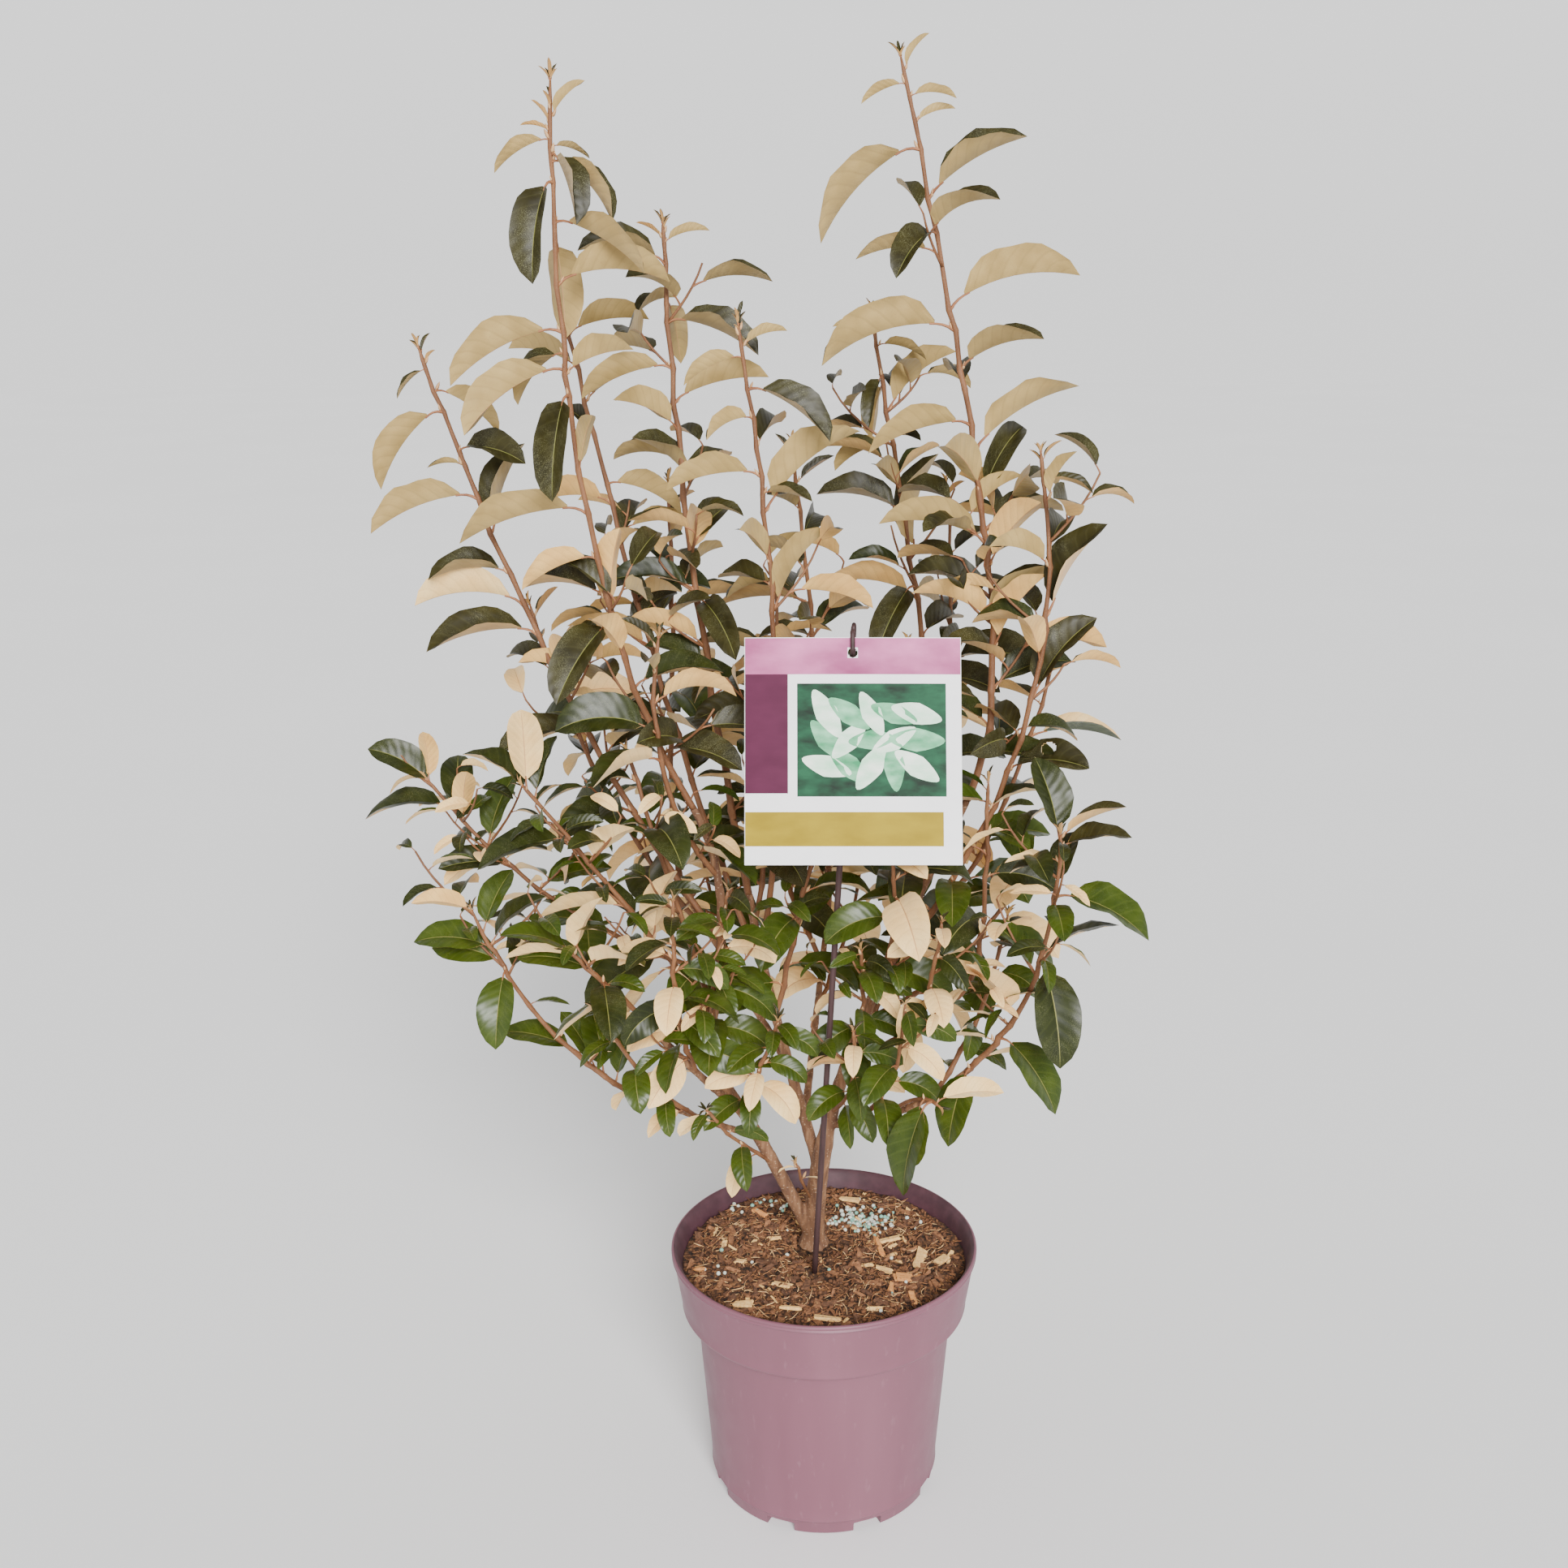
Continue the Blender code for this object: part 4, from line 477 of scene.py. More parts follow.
def ramp(look, source, stops):
    """Grey or coloured stops over a value."""
    made = add_node(look, "ShaderNodeValToRGB")
    band = made.color_ramp
    while len(band.elements) < len(stops):
        band.elements.new(0.5)
    for element, (place, colour) in zip(band.elements, stops):
        element.position = place
        element.color = (*colour, 1.0) if isinstance(colour, tuple) else (colour, colour, colour, 1.0)
    connect(look, source, made.inputs["Fac"])
    return made.outputs["Color"]


def mix(look, share, first, second, way="MIX"):
    """Two colours mixed by a share: sockets or plain values."""
    made = add_node(look, "ShaderNodeMix", data_type="RGBA", blend_type=way)
    for key, value in ((0, share), (6, first), (7, second)):
        if isinstance(value, bpy.types.NodeSocket):
            connect(look, value, made.inputs[key])
        elif isinstance(value, tuple):
            made.inputs[key].default_value = (*value, 1.0)
        else:
            made.inputs[key].default_value = value
    return made.outputs[2]


def paint(look, colour):
    connect(look, colour, principled(look).inputs["Base Color"])


def roughen(look, source, low, high):
    made = add_node(look, "ShaderNodeMapRange")
    made.inputs["To Min"].default_value = low
    made.inputs["To Max"].default_value = high
    connect(look, source, made.inputs["Value"])
    connect(look, made.outputs["Result"], principled(look).inputs["Roughness"])


def emboss(look, source, distance, strength=0.6):
    made = add_node(look, "ShaderNodeBump", Strength=strength, Distance=distance)
    connect(look, source, made.inputs["Height"])
    connect(look, made.outputs["Normal"], principled(look).inputs["Normal"])


def side_veins(look):
    """Bands that run from the midrib out and up to the margin, in the blade's own coordinates."""
    place = add_node(look, "ShaderNodeTexCoord")
    mapping = add_node(look, "ShaderNodeMapping", Rotation=(0.0, 0.0, math.radians(VEIN_TURN)))
    connect(look, place.outputs["UV"], mapping.inputs["Vector"])
    made = add_node(look, "ShaderNodeTexWave", Scale=VEIN_PAIRS * 0.314, Distortion=0.6)
    connect(look, mapping.outputs["Vector"], made.inputs["Vector"])
    return made.outputs["Fac"]


def leaf_top_look(name, colour, second, vein, scale_share, gloss):
    """Leathery top: two greens in soft clouds, fine silvery scales, paler sunken side veins."""
    look = new_look(name, colour, gloss, IOR=1.33)
    clouds = ramp(look, pattern(look, 70.0), [(0.35, colour), (0.70, second)])
    veins = side_veins(look)
    lines = ramp(look, veins, [(0.84, 0.0), (0.98, 0.30)])
    veined = mix(look, lines, clouds, vein)
    patches = ramp(look, pattern(look, 55.0), [(0.40, 0.0), (0.62, scale_share)])
    scales = ramp(look, pattern(look, 2300.0, 1.0), [(0.54, 0.0), (0.66, 1.0)])
    paint(look, mix(look, mix(look, 1.0, scales, patches, "MULTIPLY"), veined, (0.36, 0.36, 0.20)))
    roughen(look, pattern(look, 160.0), gloss - 0.06, gloss + 0.12)
    emboss(look, veins, 0.0004, 0.26)
    return look


def leaf_under_look(name, colour, second):
    """Underside: a silvery felt of scales with brown dots."""
    look = new_look(name, colour, 0.62, Sheen_Weight=0.15, Sheen_Roughness=0.5)
    clouds = ramp(look, pattern(look, 60.0), [(0.30, colour), (0.75, second)])
    veins = side_veins(look)
    veined = mix(look, ramp(look, veins, [(0.86, 0.0), (0.99, 0.25)]), clouds, tuple(0.72 * c for c in colour))
    dots = ramp(look, pattern(look, 1900.0, 1.0), [(0.60, 0.0), (0.72, 0.35)])
    paint(look, mix(look, dots, veined, (0.30, 0.13, 0.05)))
    emboss(look, veins, 0.0004, 0.26)
    return look


def twig_look(name, colour, second):
    """Young bark covered with rusty scales."""
    look = new_look(name, colour, 0.66)
    clouds = ramp(look, pattern(look, 120.0, 3.0, (1.0, 1.0, 0.35)), [(0.30, colour), (0.72, second)])
    flecks = ramp(look, pattern(look, 1500.0, 1.0), [(0.60, 0.0), (0.70, 0.35)])
    paint(look, mix(look, flecks, clouds, (0.40, 0.21, 0.10)))
    emboss(look, pattern(look, 700.0), 0.0004, 0.5)
    return look


def bark_look():
    """Older bark: tan and brown streaks along the stem, pale lenticels."""
    look = new_look("stem_bark", (0.21, 0.10, 0.05), 0.82)
    streaks = pattern(look, 260.0, 4.0, (1.0, 1.0, 0.16))
    colour = ramp(look, streaks, [(0.28, (0.085, 0.036, 0.018)), (0.55, (0.19, 0.090, 0.042)),
                                  (0.78, (0.33, 0.18, 0.092))])
    spots = ramp(look, pattern(look, 520.0, 1.0, (1.0, 1.0, 1.6)), [(0.64, 0.0), (0.70, 0.55)])
    paint(look, mix(look, spots, colour, (0.48, 0.33, 0.21)))
    emboss(look, streaks, 0.0012, 0.7)
    return look


def pot_look():
    """Moulded mauve plastic: faint upright flow streaks, scuffs and dusty patches where the roughness varies."""
    look = new_look("pot_mauve", (0.180, 0.070, 0.098), 0.42, IOR=1.42)
    streaks = pattern(look, 30.0, 3.0, (1.0, 1.0, 0.10))
    base = ramp(look, streaks, [(0.25, (0.164, 0.063, 0.088)), (0.75, (0.198, 0.080, 0.110))])
    scuffs = ramp(look, pattern(look, 240.0, 5.0, (1.0, 1.0, 0.30)), [(0.62, 0.0), (0.80, 0.30)])
    paint(look, mix(look, scuffs, base, (0.32, 0.18, 0.22)))
    roughen(look, pattern(look, 60.0, 4.0), 0.36, 0.58)
    emboss(look, streaks, 0.0008, 0.25)
    return look


def pot_inside_shade_look():
    # The same mauve plastic painted about three times darker: painted shade for the inside of the pot, with a faint
    # dusty noise over it.
    look = new_look("pot_inside", (0.060, 0.022, 0.032), 0.6)
    shaded_dust = ramp(look, pattern(look, 90.0, 5.0), [(0.35, (0.048, 0.016, 0.024)), (0.75, (0.085, 0.032, 0.044))])
    paint(look, shaded_dust)
    return look


def soil_look():
    look = new_look("mix_dark", (0.06, 0.03, 0.018), 0.95)
    grains = pattern(look, 300.0, 7.0)
    paint(look, ramp(look, grains, [(0.36, (0.014, 0.007, 0.004)), (0.52, (0.075, 0.031, 0.013)),
                                    (0.68, (0.27, 0.125, 0.048))]))
    emboss(look, grains, 0.002, 0.9)
    return look


def crumb_look(name, low, high):
    look = new_look(name, low, 0.9)
    grain = pattern(look, 480.0, 4.0, (1.0, 1.0, 0.6))
    paint(look, ramp(look, grain, [(0.30, low), (0.70, high)]))
    emboss(look, grain, 0.0008, 0.6)
    return look


def granule_look(name, colour):
    look = new_look(name, colour, 0.45)
    paint(look, ramp(look, pattern(look, 900.0), [(0.3, colour), (0.8, tuple(0.8 * c for c in colour))]))
    return look


def printed_look(name, colour, second, scale=45.0, roughness=0.55):
    """Ink on smooth card: two close tones in a soft wash."""
    look = new_look(name, colour, roughness, IOR=1.25)
    wash = pattern(look, scale, 5.0, (1.0, 1.0, 2.2))
    paint(look, ramp(look, wash, [(0.32, colour), (0.70, second)]))
    return look


def stick_look():
    look = new_look("stick_plum", (0.040, 0.020, 0.021), 0.5, IOR=1.35)
    streaks = pattern(look, 200.0, 3.0, (1.0, 1.0, 0.1))
    paint(look, ramp(look, streaks, [(0.3, (0.030, 0.014, 0.014)), (0.75, (0.062, 0.033, 0.033))]))
    return look


# Pot


def arc(centre_r, centre_z, radius, start, end, steps):
    points = []
    for i in range(steps + 1):
        angle = math.radians(start + (end - start) * i / steps)
        points.append((centre_r + radius * math.cos(angle), centre_z + radius * math.sin(angle)))
    return points


def wall_radius(height):
    if height >= BODY_TOP_HEIGHT:
        share = (height - BODY_TOP_HEIGHT) / (POT_HEIGHT - BODY_TOP_HEIGHT)
        return BODY_TOP_RADIUS + share * (COLLAR_TOP_RADIUS - BODY_TOP_RADIUS) - WALL
    share = height / BODY_TOP_HEIGHT
    return BODY_FOOT_RADIUS + share * (BODY_TOP_RADIUS - BODY_FOOT_RADIUS) - WALL


def spun(profile, steps):
    """A profile of (radius, height) points spun round the Z axis."""
    shape = bmesh.new()
    line = [shape.verts.new((r, 0.0, z)) for r, z in profile]
    edges = [shape.edges.new(pair) for pair in zip(line, line[1:])]
    bmesh.ops.spin(shape, geom=line + edges, cent=(0, 0, 0), axis=(0, 0, 1), angle=2 * math.pi,
                   steps=steps, use_merge=True)
    bmesh.ops.remove_doubles(shape, verts=shape.verts, dist=1e-6)
    bmesh.ops.recalc_face_normals(shape, faces=shape.faces)
    return shape


def pot_profile():
    floor_edge = wall_radius(FLOOR_THICKNESS) - 0.004
    inner = [(0.0, FLOOR_THICKNESS), (floor_edge, FLOOR_THICKNESS),
             (wall_radius(FLOOR_THICKNESS + 0.004), FLOOR_THICKNESS + 0.004),
             (wall_radius(BODY_TOP_HEIGHT - 0.001), BODY_TOP_HEIGHT - 0.001),
             (wall_radius(POT_HEIGHT - 0.010), POT_HEIGHT - 0.010),
             (wall_radius(POT_HEIGHT - 0.004), POT_HEIGHT - 0.004)]
    rim = arc(RIM_RADIUS - 0.0017, POT_HEIGHT - 0.0017, 0.0017, 130, -60, 10)
    lip = [(RIM_RADIUS - 0.0002, POT_HEIGHT - 0.0046), (COLLAR_TOP_RADIUS + 0.0004, POT_HEIGHT - 0.0056),
           (COLLAR_TOP_RADIUS, POT_HEIGHT - 0.0070)]
    drop_height = POT_HEIGHT - 0.0070 - COLLAR_FOOT_HEIGHT - 0.006
    collar = []
    for i in range(1, 8):
        share = i / 8
        radius = COLLAR_TOP_RADIUS + (COLLAR_FOOT_RADIUS + 0.0006 - COLLAR_TOP_RADIUS) * share
        collar.append((radius, POT_HEIGHT - 0.0070 - drop_height * share))
    roll = arc(COLLAR_FOOT_RADIUS - 0.0040, COLLAR_FOOT_HEIGHT + 0.0010, 0.0042, 15, -78, 8)
    step = [(BODY_TOP_RADIUS + 0.0040, BODY_TOP_HEIGHT + 0.0034), (BODY_TOP_RADIUS + 0.0012, BODY_TOP_HEIGHT + 0.0012),
            (BODY_TOP_RADIUS, BODY_TOP_HEIGHT - 0.0015)]
    body = []
    for i in range(1, 14):
        share = i / 14
        radius = BODY_TOP_RADIUS + (BODY_FOOT_RADIUS - BODY_TOP_RADIUS) * share
        body.append((radius, BODY_TOP_HEIGHT - 0.0015 + (BODY_FOOT_HEIGHT + 0.004 - BODY_TOP_HEIGHT) * share))
    seam = [(BODY_FOOT_RADIUS + 0.0005, BODY_FOOT_HEIGHT + 0.0021), (BODY_FOOT_RADIUS + 0.0007, BODY_FOOT_HEIGHT + 0.0014),
            (BODY_FOOT_RADIUS + 0.0001, BODY_FOOT_HEIGHT + 0.0006), (BODY_FOOT_RADIUS - 0.0006, BODY_FOOT_HEIGHT - 0.0002)]
    foot = [(FOOT_RADIUS, BODY_FOOT_HEIGHT - 0.0014), (FOOT_RADIUS - 0.0005, 0.0014),
            (FOOT_RADIUS - 0.0010, 0.0003), (FOOT_RADIUS - 0.0018, 0.0), (0.0, 0.0)]
    return inner + rim + lip + collar + roll + step + body + seam + foot


def build_pot():
    shape = spun(pot_profile(), POT_STEPS)
    # The moulded wall is a little out of round, most of all at the front right of the rim
    for vertex in shape.verts:
        flat = math.hypot(vertex.co.x, vertex.co.y)
        if vertex.co.z > 0.02 and flat > 0.05:
            angle = math.atan2(vertex.co.y, vertex.co.x)
            high = (vertex.co.z / POT_HEIGHT) ** 2
            squash = -0.0008 * math.exp(-((angle + 0.9) / 0.35) ** 2) + 0.0002 * math.sin(3 * angle) - 0.0002
            vertex.co.x *= 1 + squash * high / flat
            vertex.co.y *= 1 + squash * high / flat
    outer, inner = pot_look(), pot_inside_shade_look()
    data = bpy.data.meshes.new("pot_solid")
    shape.to_mesh(data)
    shape.free()
    solid = loose_object("pot_solid", data)
    cutters = []
    for i in range(NOTCH_COUNT):
        notch = bmesh.new()
        bmesh.ops.create_cube(notch, size=1.0, matrix=Matrix.Diagonal((0.018, 0.022, 0.015, 1.0)))
        bmesh.ops.bevel(notch, geom=notch.edges[:], offset=0.0012, segments=3, profile=0.5,
                        affect="EDGES", material=-1)
        turn = Matrix.Rotation(math.radians(22.5) + 2 * math.pi * i / NOTCH_COUNT, 4, "Z")
        bmesh.ops.transform(notch, matrix=turn @ Matrix.Translation((FOOT_RADIUS, 0.0, 0.0)), verts=notch.verts)
        cutter_data = bpy.data.meshes.new(f"notch_{i}")
        notch.to_mesh(cutter_data)
        notch.free()
        cutters.append(loose_object(f"notch_{i}", cutter_data))
        cut = solid.modifiers.new(f"notch_{i}", "BOOLEAN")
        cut.operation = "DIFFERENCE"
        cut.solver = "EXACT"
        cut.object = cutters[-1]
    bpy.context.view_layer.update()
    cut_data = evaluated_mesh(solid)
    for thing in cutters + [solid]:
        drop(thing)
    pot = piece_of("pot_shell", cut_data, [outer, inner])
    # Faces on the inside of the wall, above the floor, take the darker inside look: painted shade.
    for face in pot.data.polygons:
        middle = face.center
        face.material_index = int(face.normal.x * middle.x + face.normal.y * middle.y < -1e-6 and middle.z > 0.012)
    pot.data.set_sharp_from_angle(angle=math.radians(40))
    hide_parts("pot")


# Potting mix


def soil_height(x, y):
    """The surface's height over the flat: a hollow round the stem, mounds, lumps and crumbs."""
    place = Vector((x, y, 0.0))
    away = math.hypot(x - TRUNK_FOOT.x, y - TRUNK_FOOT.y)
    hollow = -0.0034 * max(0.0, min(1.0, (0.036 - away) / 0.020))
    mounds = 0.0016 * noise.noise(place * 28.0)
    lumps = 0.0016 * noise.noise(place * 120.0 + Vector((3.1, 0.0, 0.0)))
    crumbs = 0.0011 * abs(noise.noise(place * 420.0))
    edge = -0.0022 * max(0.0, (math.hypot(x, y) - 0.088) / 0.018)
    return SOIL_HEIGHT - 0.0022 + hollow + mounds + lumps + crumbs + edge


def build_soil():
    edge = wall_radius(SOIL_HEIGHT - 0.004) - 0.0004
    profile = [(0.0, SOIL_HEIGHT)]
    profile += [(edge * (i / SOIL_RINGS) ** 0.75, SOIL_HEIGHT) for i in range(1, SOIL_RINGS + 1)]
    low_edge = wall_radius(BODY_TOP_HEIGHT) - 0.0004
    profile += [(low_edge, BODY_TOP_HEIGHT), (low_edge - 0.004, BODY_TOP_HEIGHT - 0.010), (0.0, BODY_TOP_HEIGHT - 0.010)]
    shape = spun(profile, SOIL_STEPS)
    for vertex in shape.verts:
        if vertex.co.z > SOIL_HEIGHT - 0.001:
            vertex.co.z = soil_height(vertex.co.x, vertex.co.y)
    soil = piece_from("potting_mix", shape, [soil_look()])
    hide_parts("soil")


def scattered_place(draw, reach=0.103):
    """A random point on the mix, clear of the trunk and the stick."""
    while True:
        radius = reach * math.sqrt(draw.random())
        angle = draw.uniform(0.0, 2 * math.pi)
        x, y = radius * math.cos(angle), radius * math.sin(angle)
        clear = math.hypot(x - TRUNK_FOOT.x, y - TRUNK_FOOT.y) > 0.015
        if clear and math.hypot(x - STICK_FOOT.x, y - STICK_FOOT.y) > 0.006:
            return x, y


def lying(draw, x, y, lift, tilt=0.35):
    """A placement on the mix's surface: turned anyhow and tilted a little."""
    turn = Matrix.Rotation(draw.uniform(0.0, 2 * math.pi), 4, "Z")
    lean = Matrix.Rotation(draw.gauss(0.0, tilt), 4, "X") @ Matrix.Rotation(draw.gauss(0.0, tilt), 4, "Y")
    return Matrix.Translation((x, y, soil_height(x, y) + lift)) @ turn @ lean


def add_chip(shape, draw, place, size, look):
    """A split flake of bark or wood: a block with chamfered, uneven edges."""
    made = bmesh.new()
    scale = Matrix.Diagonal((size[0], size[1], size[2], 1.0))
    bmesh.ops.create_cube(made, size=1.0, matrix=scale)
    bmesh.ops.bevel(made, geom=made.edges[:], offset=min(size) * 0.28, segments=1, profile=0.5,
                    affect="EDGES", material=-1)
    for vertex in made.verts:
        vertex.co += Vector((draw.gauss(0, 1) * size[0], draw.gauss(0, 1) * size[1],
                             draw.gauss(0, 1) * size[2])) * 0.085
        vertex.co.y *= 1.0 - 0.55 * max(0.0, vertex.co.x / size[0])
    bmesh.ops.transform(made, matrix=place, verts=made.verts)
    for face in made.faces:
        face.material_index = look
    data = bpy.data.meshes.new("chip")
    made.to_mesh(data)
    made.free()
    shape.from_mesh(data)
    bpy.data.meshes.remove(data)


def build_chips():
    draw = random.Random(71)
    shape = bmesh.new()
    for i in range(CHIP_COUNT):
        x, y = scattered_place(draw)
        long = draw.uniform(0.004, 0.011)
        size = (long, long * draw.uniform(0.25, 0.55), long * draw.uniform(0.12, 0.26))
        add_chip(shape, draw, lying(draw, x, y, size[2] * 0.3), size, draw.choice((0, 0, 0, 1, 1, 0, 0, 0, 1, 1, 0, 2)))
    for x, y, long, broad, look in WOOD_CHIPS:
        size = (long, broad, 0.0024)
        add_chip(shape, draw, lying(draw, x, y, 0.0018, 0.10), size, look)
    looks = [crumb_look("bark_flake", (0.050, 0.022, 0.012), (0.17, 0.075, 0.035)),
             crumb_look("bark_flake_red", (0.13, 0.050, 0.022), (0.33, 0.15, 0.065)),
             crumb_look("wood_flake", (0.66, 0.36, 0.105), (0.86, 0.58, 0.24)),
             crumb_look("wood_flake_red", (0.52, 0.20, 0.055), (0.72, 0.34, 0.11))]
    chips = piece_from("mix_flakes", shape, looks, smooth=False)


def build_fibres():
    """Brown coir and paler straws, strewn over the mix."""
    draw = random.Random(72)
    brown = crumb_look("coir_brown", (0.14, 0.052, 0.020), (0.42, 0.19, 0.075))
    straw = crumb_look("coir_straw", (0.46, 0.25, 0.10), (0.72, 0.48, 0.23))
    for name, count, look in (("mix_fibres", FIBRE_COUNT, brown), ("mix_straws", STRAW_COUNT, straw)):
        routes = []
        for _ in range(count):
            x, y = scattered_place(draw, 0.101)
            place = lying(draw, x, y, 0.0008, 0.25)
            half = draw.uniform(0.002, 0.0075)
            bow = draw.gauss(0.0, half * 0.22)
            radius = draw.uniform(0.00020, 0.00052)
            route = []
            for i in range(5):
                share = i / 4 * 2 - 1
                point = place @ Vector((half * share, bow * (1 - share * share), 0.0004 * math.sin(share * 3)))
                point.z = max(point.z, soil_height(point.x, point.y) + 0.0002)
                route.append((point, radius * (1 - 0.5 * share * share)))
            routes.append(route)
        fibres = piece_of(name, tube_bundle(name, routes, 0), [look])


def build_crumbs():
    draw = random.Random(73)
    shape = bmesh.new()
    for _ in range(CRUMB_COUNT):
        x, y = scattered_place(draw, 0.1035)
        size = draw.uniform(0.0006, 0.0021)
        stretch = Matrix.Diagonal((size * draw.uniform(0.7, 1.5), size, size * draw.uniform(0.5, 1.0), 1.0))
        bmesh.ops.create_icosphere(shape, subdivisions=1, radius=1.0, matrix=lying(draw, x, y, size * 0.3, 1.0) @ stretch)
    crumbs = piece_from("mix_crumbs", shape, [crumb_look("mix_crumb", (0.038, 0.015, 0.008), (0.21, 0.085, 0.034))])


def build_granules():
    """Beads of slow feed: a cluster to the right of the stem and a few spread about."""
    draw = random.Random(74)
    shape = bmesh.new()
    for i in range(GRANULE_COUNT):
        if i < GRANULE_COUNT * 0.72:
            x, y = 0.028 + draw.gauss(0.0, 0.013), 0.052 + draw.gauss(0.0, 0.009)
        elif i < GRANULE_COUNT * 0.86:
            x, y = draw.uniform(-0.075, -0.015), 0.072 + draw.gauss(0.0, 0.005)
        else:
            x, y = scattered_place(draw, 0.095)
        radius = draw.uniform(0.0012, 0.0018)
        place = Matrix.Translation((x, y, soil_height(x, y) + radius * 0.8))
        made = bmesh.ops.create_icosphere(shape, subdivisions=2, radius=radius, matrix=place)
        look = int(draw.random() < 0.35)
        for face in {face for vertex in made["verts"] for face in vertex.link_faces}:
            face.material_index = look
    looks = [granule_look("feed_white", (0.62, 0.66, 0.58)), granule_look("feed_green", (0.22, 0.45, 0.36))]
    beads = piece_from("feed_beads", shape, looks)


# Limbs


def bezier(points, t):
    a, b, c, d = points
    u = 1.0 - t
    return a * u**3 + b * (3 * u * u * t) + c * (3 * u * t * t) + d * t**3


def bezier_heading(points, t):
    a, b, c, d = points
    u = 1.0 - t
    return ((b - a) * (u * u) + (c - b) * (2 * u * t) + (d - c) * (t * t)).normalized()


def limb_controls(carrier, at, knee, tip):
    foot = bezier(carrier, at)
    knee = Vector(knee)
    if at >= 1.0:
        lead = bezier_heading(carrier, 1.0) * ((knee - foot).length * 0.4)
    else:
        lead = (knee - foot) * 0.4
    return (foot, foot + lead, foot + (knee - foot) * 0.94 + (Vector(tip) - foot) * 0.06, Vector(tip))


def limb_curves():
    """Control points and radii of the trunk and boughs."""
    rise = TRUNK_TIP.z - TRUNK_FOOT.z
    trunk = (TRUNK_FOOT, TRUNK_FOOT + Vector((0.0, 0.0, rise * 0.3)), TRUNK_KNEE, TRUNK_TIP)
    curves = {"trunk": (trunk, TRUNK_RADII)}
    for bough in BOUGHS:
        controls = limb_controls(curves[bough.carrier][0], bough.at, bough.knee, bough.tip)
        curves[bough.name] = (controls, (bough.foot_radius, bough.tip_radius))
    return curves


def build_limbs(curves):
    """One skin over the trunk and boughs, with collars at the forks and bark relief."""
    routes = []
    for name, (controls, radii) in curves.items():
        count = 40
        route = []
        for i in range(count + 1):
            t = i / count
            radius = blend(radii[0], radii[1], t)
            if name == "trunk":
                radius += (FLARE_RADIUS - radii[0]) * max(0.0, 1.0 - t / FLARE_SHARE) ** 2
            else:
                radius *= 1.0 + 0.22 * math.exp(-t * 16.0)
            route.append((bezier(controls, t), radius))
        routes.append(route)
    guide = loose_object("limb_guide", tube_bundle("limb_guide", routes, 3))
    skin = guide.modifiers.new("skin", "REMESH")
    skin.mode = "VOXEL"
    skin.voxel_size = 0.0010
    bpy.context.view_layer.update()
    data = evaluated_mesh(guide)
    drop(guide)
    shape = bmesh.new()
    shape.from_mesh(data)
    for _ in range(3):
        bmesh.ops.smooth_vert(shape, verts=shape.verts, factor=0.5, use_axis_x=True, use_axis_y=True, use_axis_z=True)
    shape.normal_update()
    floor = TRUNK_FOOT.z
    for vertex in shape.verts:
        place = vertex.co
        streak = noise.noise(Vector((place.x * 520, place.y * 520, place.z * 90)))
        lump = noise.noise(place * 110.0)
        ring = noise.noise(Vector((place.x * 40, place.y * 40, place.z * 420)))
        vertex.co = place + vertex.normal * (0.00028 * streak + 0.00040 * lump + 0.00014 * ring)
        vertex.co.z = max(vertex.co.z, floor)
    limbs = piece_from("shrub_limbs", shape, [bark_look()])
    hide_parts("trunk", *[bough.name for bough in BOUGHS])


# Leaves


Leaf = namedtuple("Leaf", "origin up out side length bends fold roll young key read")


def leaf_places(count):
    return [0.10 + 0.89 * (1.0 - (1.0 - (i + 0.6) / count) ** 1.3) for i in range(count)]


def crown_share(origin):
    return (origin.z - LOW_CROWN) / (HIGH_CROWN - LOW_CROWN)


def upper_fold(origin, draw):
    """Blades are nearly flat low in the crown and folded up along the midrib high in it."""
    return math.radians(blend(16, 52, crown_share(origin)) + draw.uniform(-8, 8))


def read_leaf(shoot, controls, row, draw, key):
    """A leaf of a tall shoot, from its row."""
    t, compass, slope, blade, roll = row
    origin = bezier(controls, t)
    angle = math.radians(compass + draw.uniform(-4, 4))
    curl = 34 + draw.uniform(-8, 8)
    fold = upper_fold(origin, draw)
    up = Vector((0.0, 0.0, 1.0))
    out = Vector((math.cos(angle), math.sin(angle), 0.0))
    bends = [math.radians(bend) for bend in (max(20, min(65, slope + 60)), slope + curl / 2, slope - curl / 2)]
    roll = math.radians(-roll) * math.copysign(1.0, out.x)
    size = blade * 0.001 / (1.0 - PETIOLE_SHARE)
    young = max(0.0, 1.0 - blade / 42.0) if t > 0.93 else 0.0
    return t, Leaf(origin, up, out, up.cross(out), size, bends, fold, roll, young, key, True)


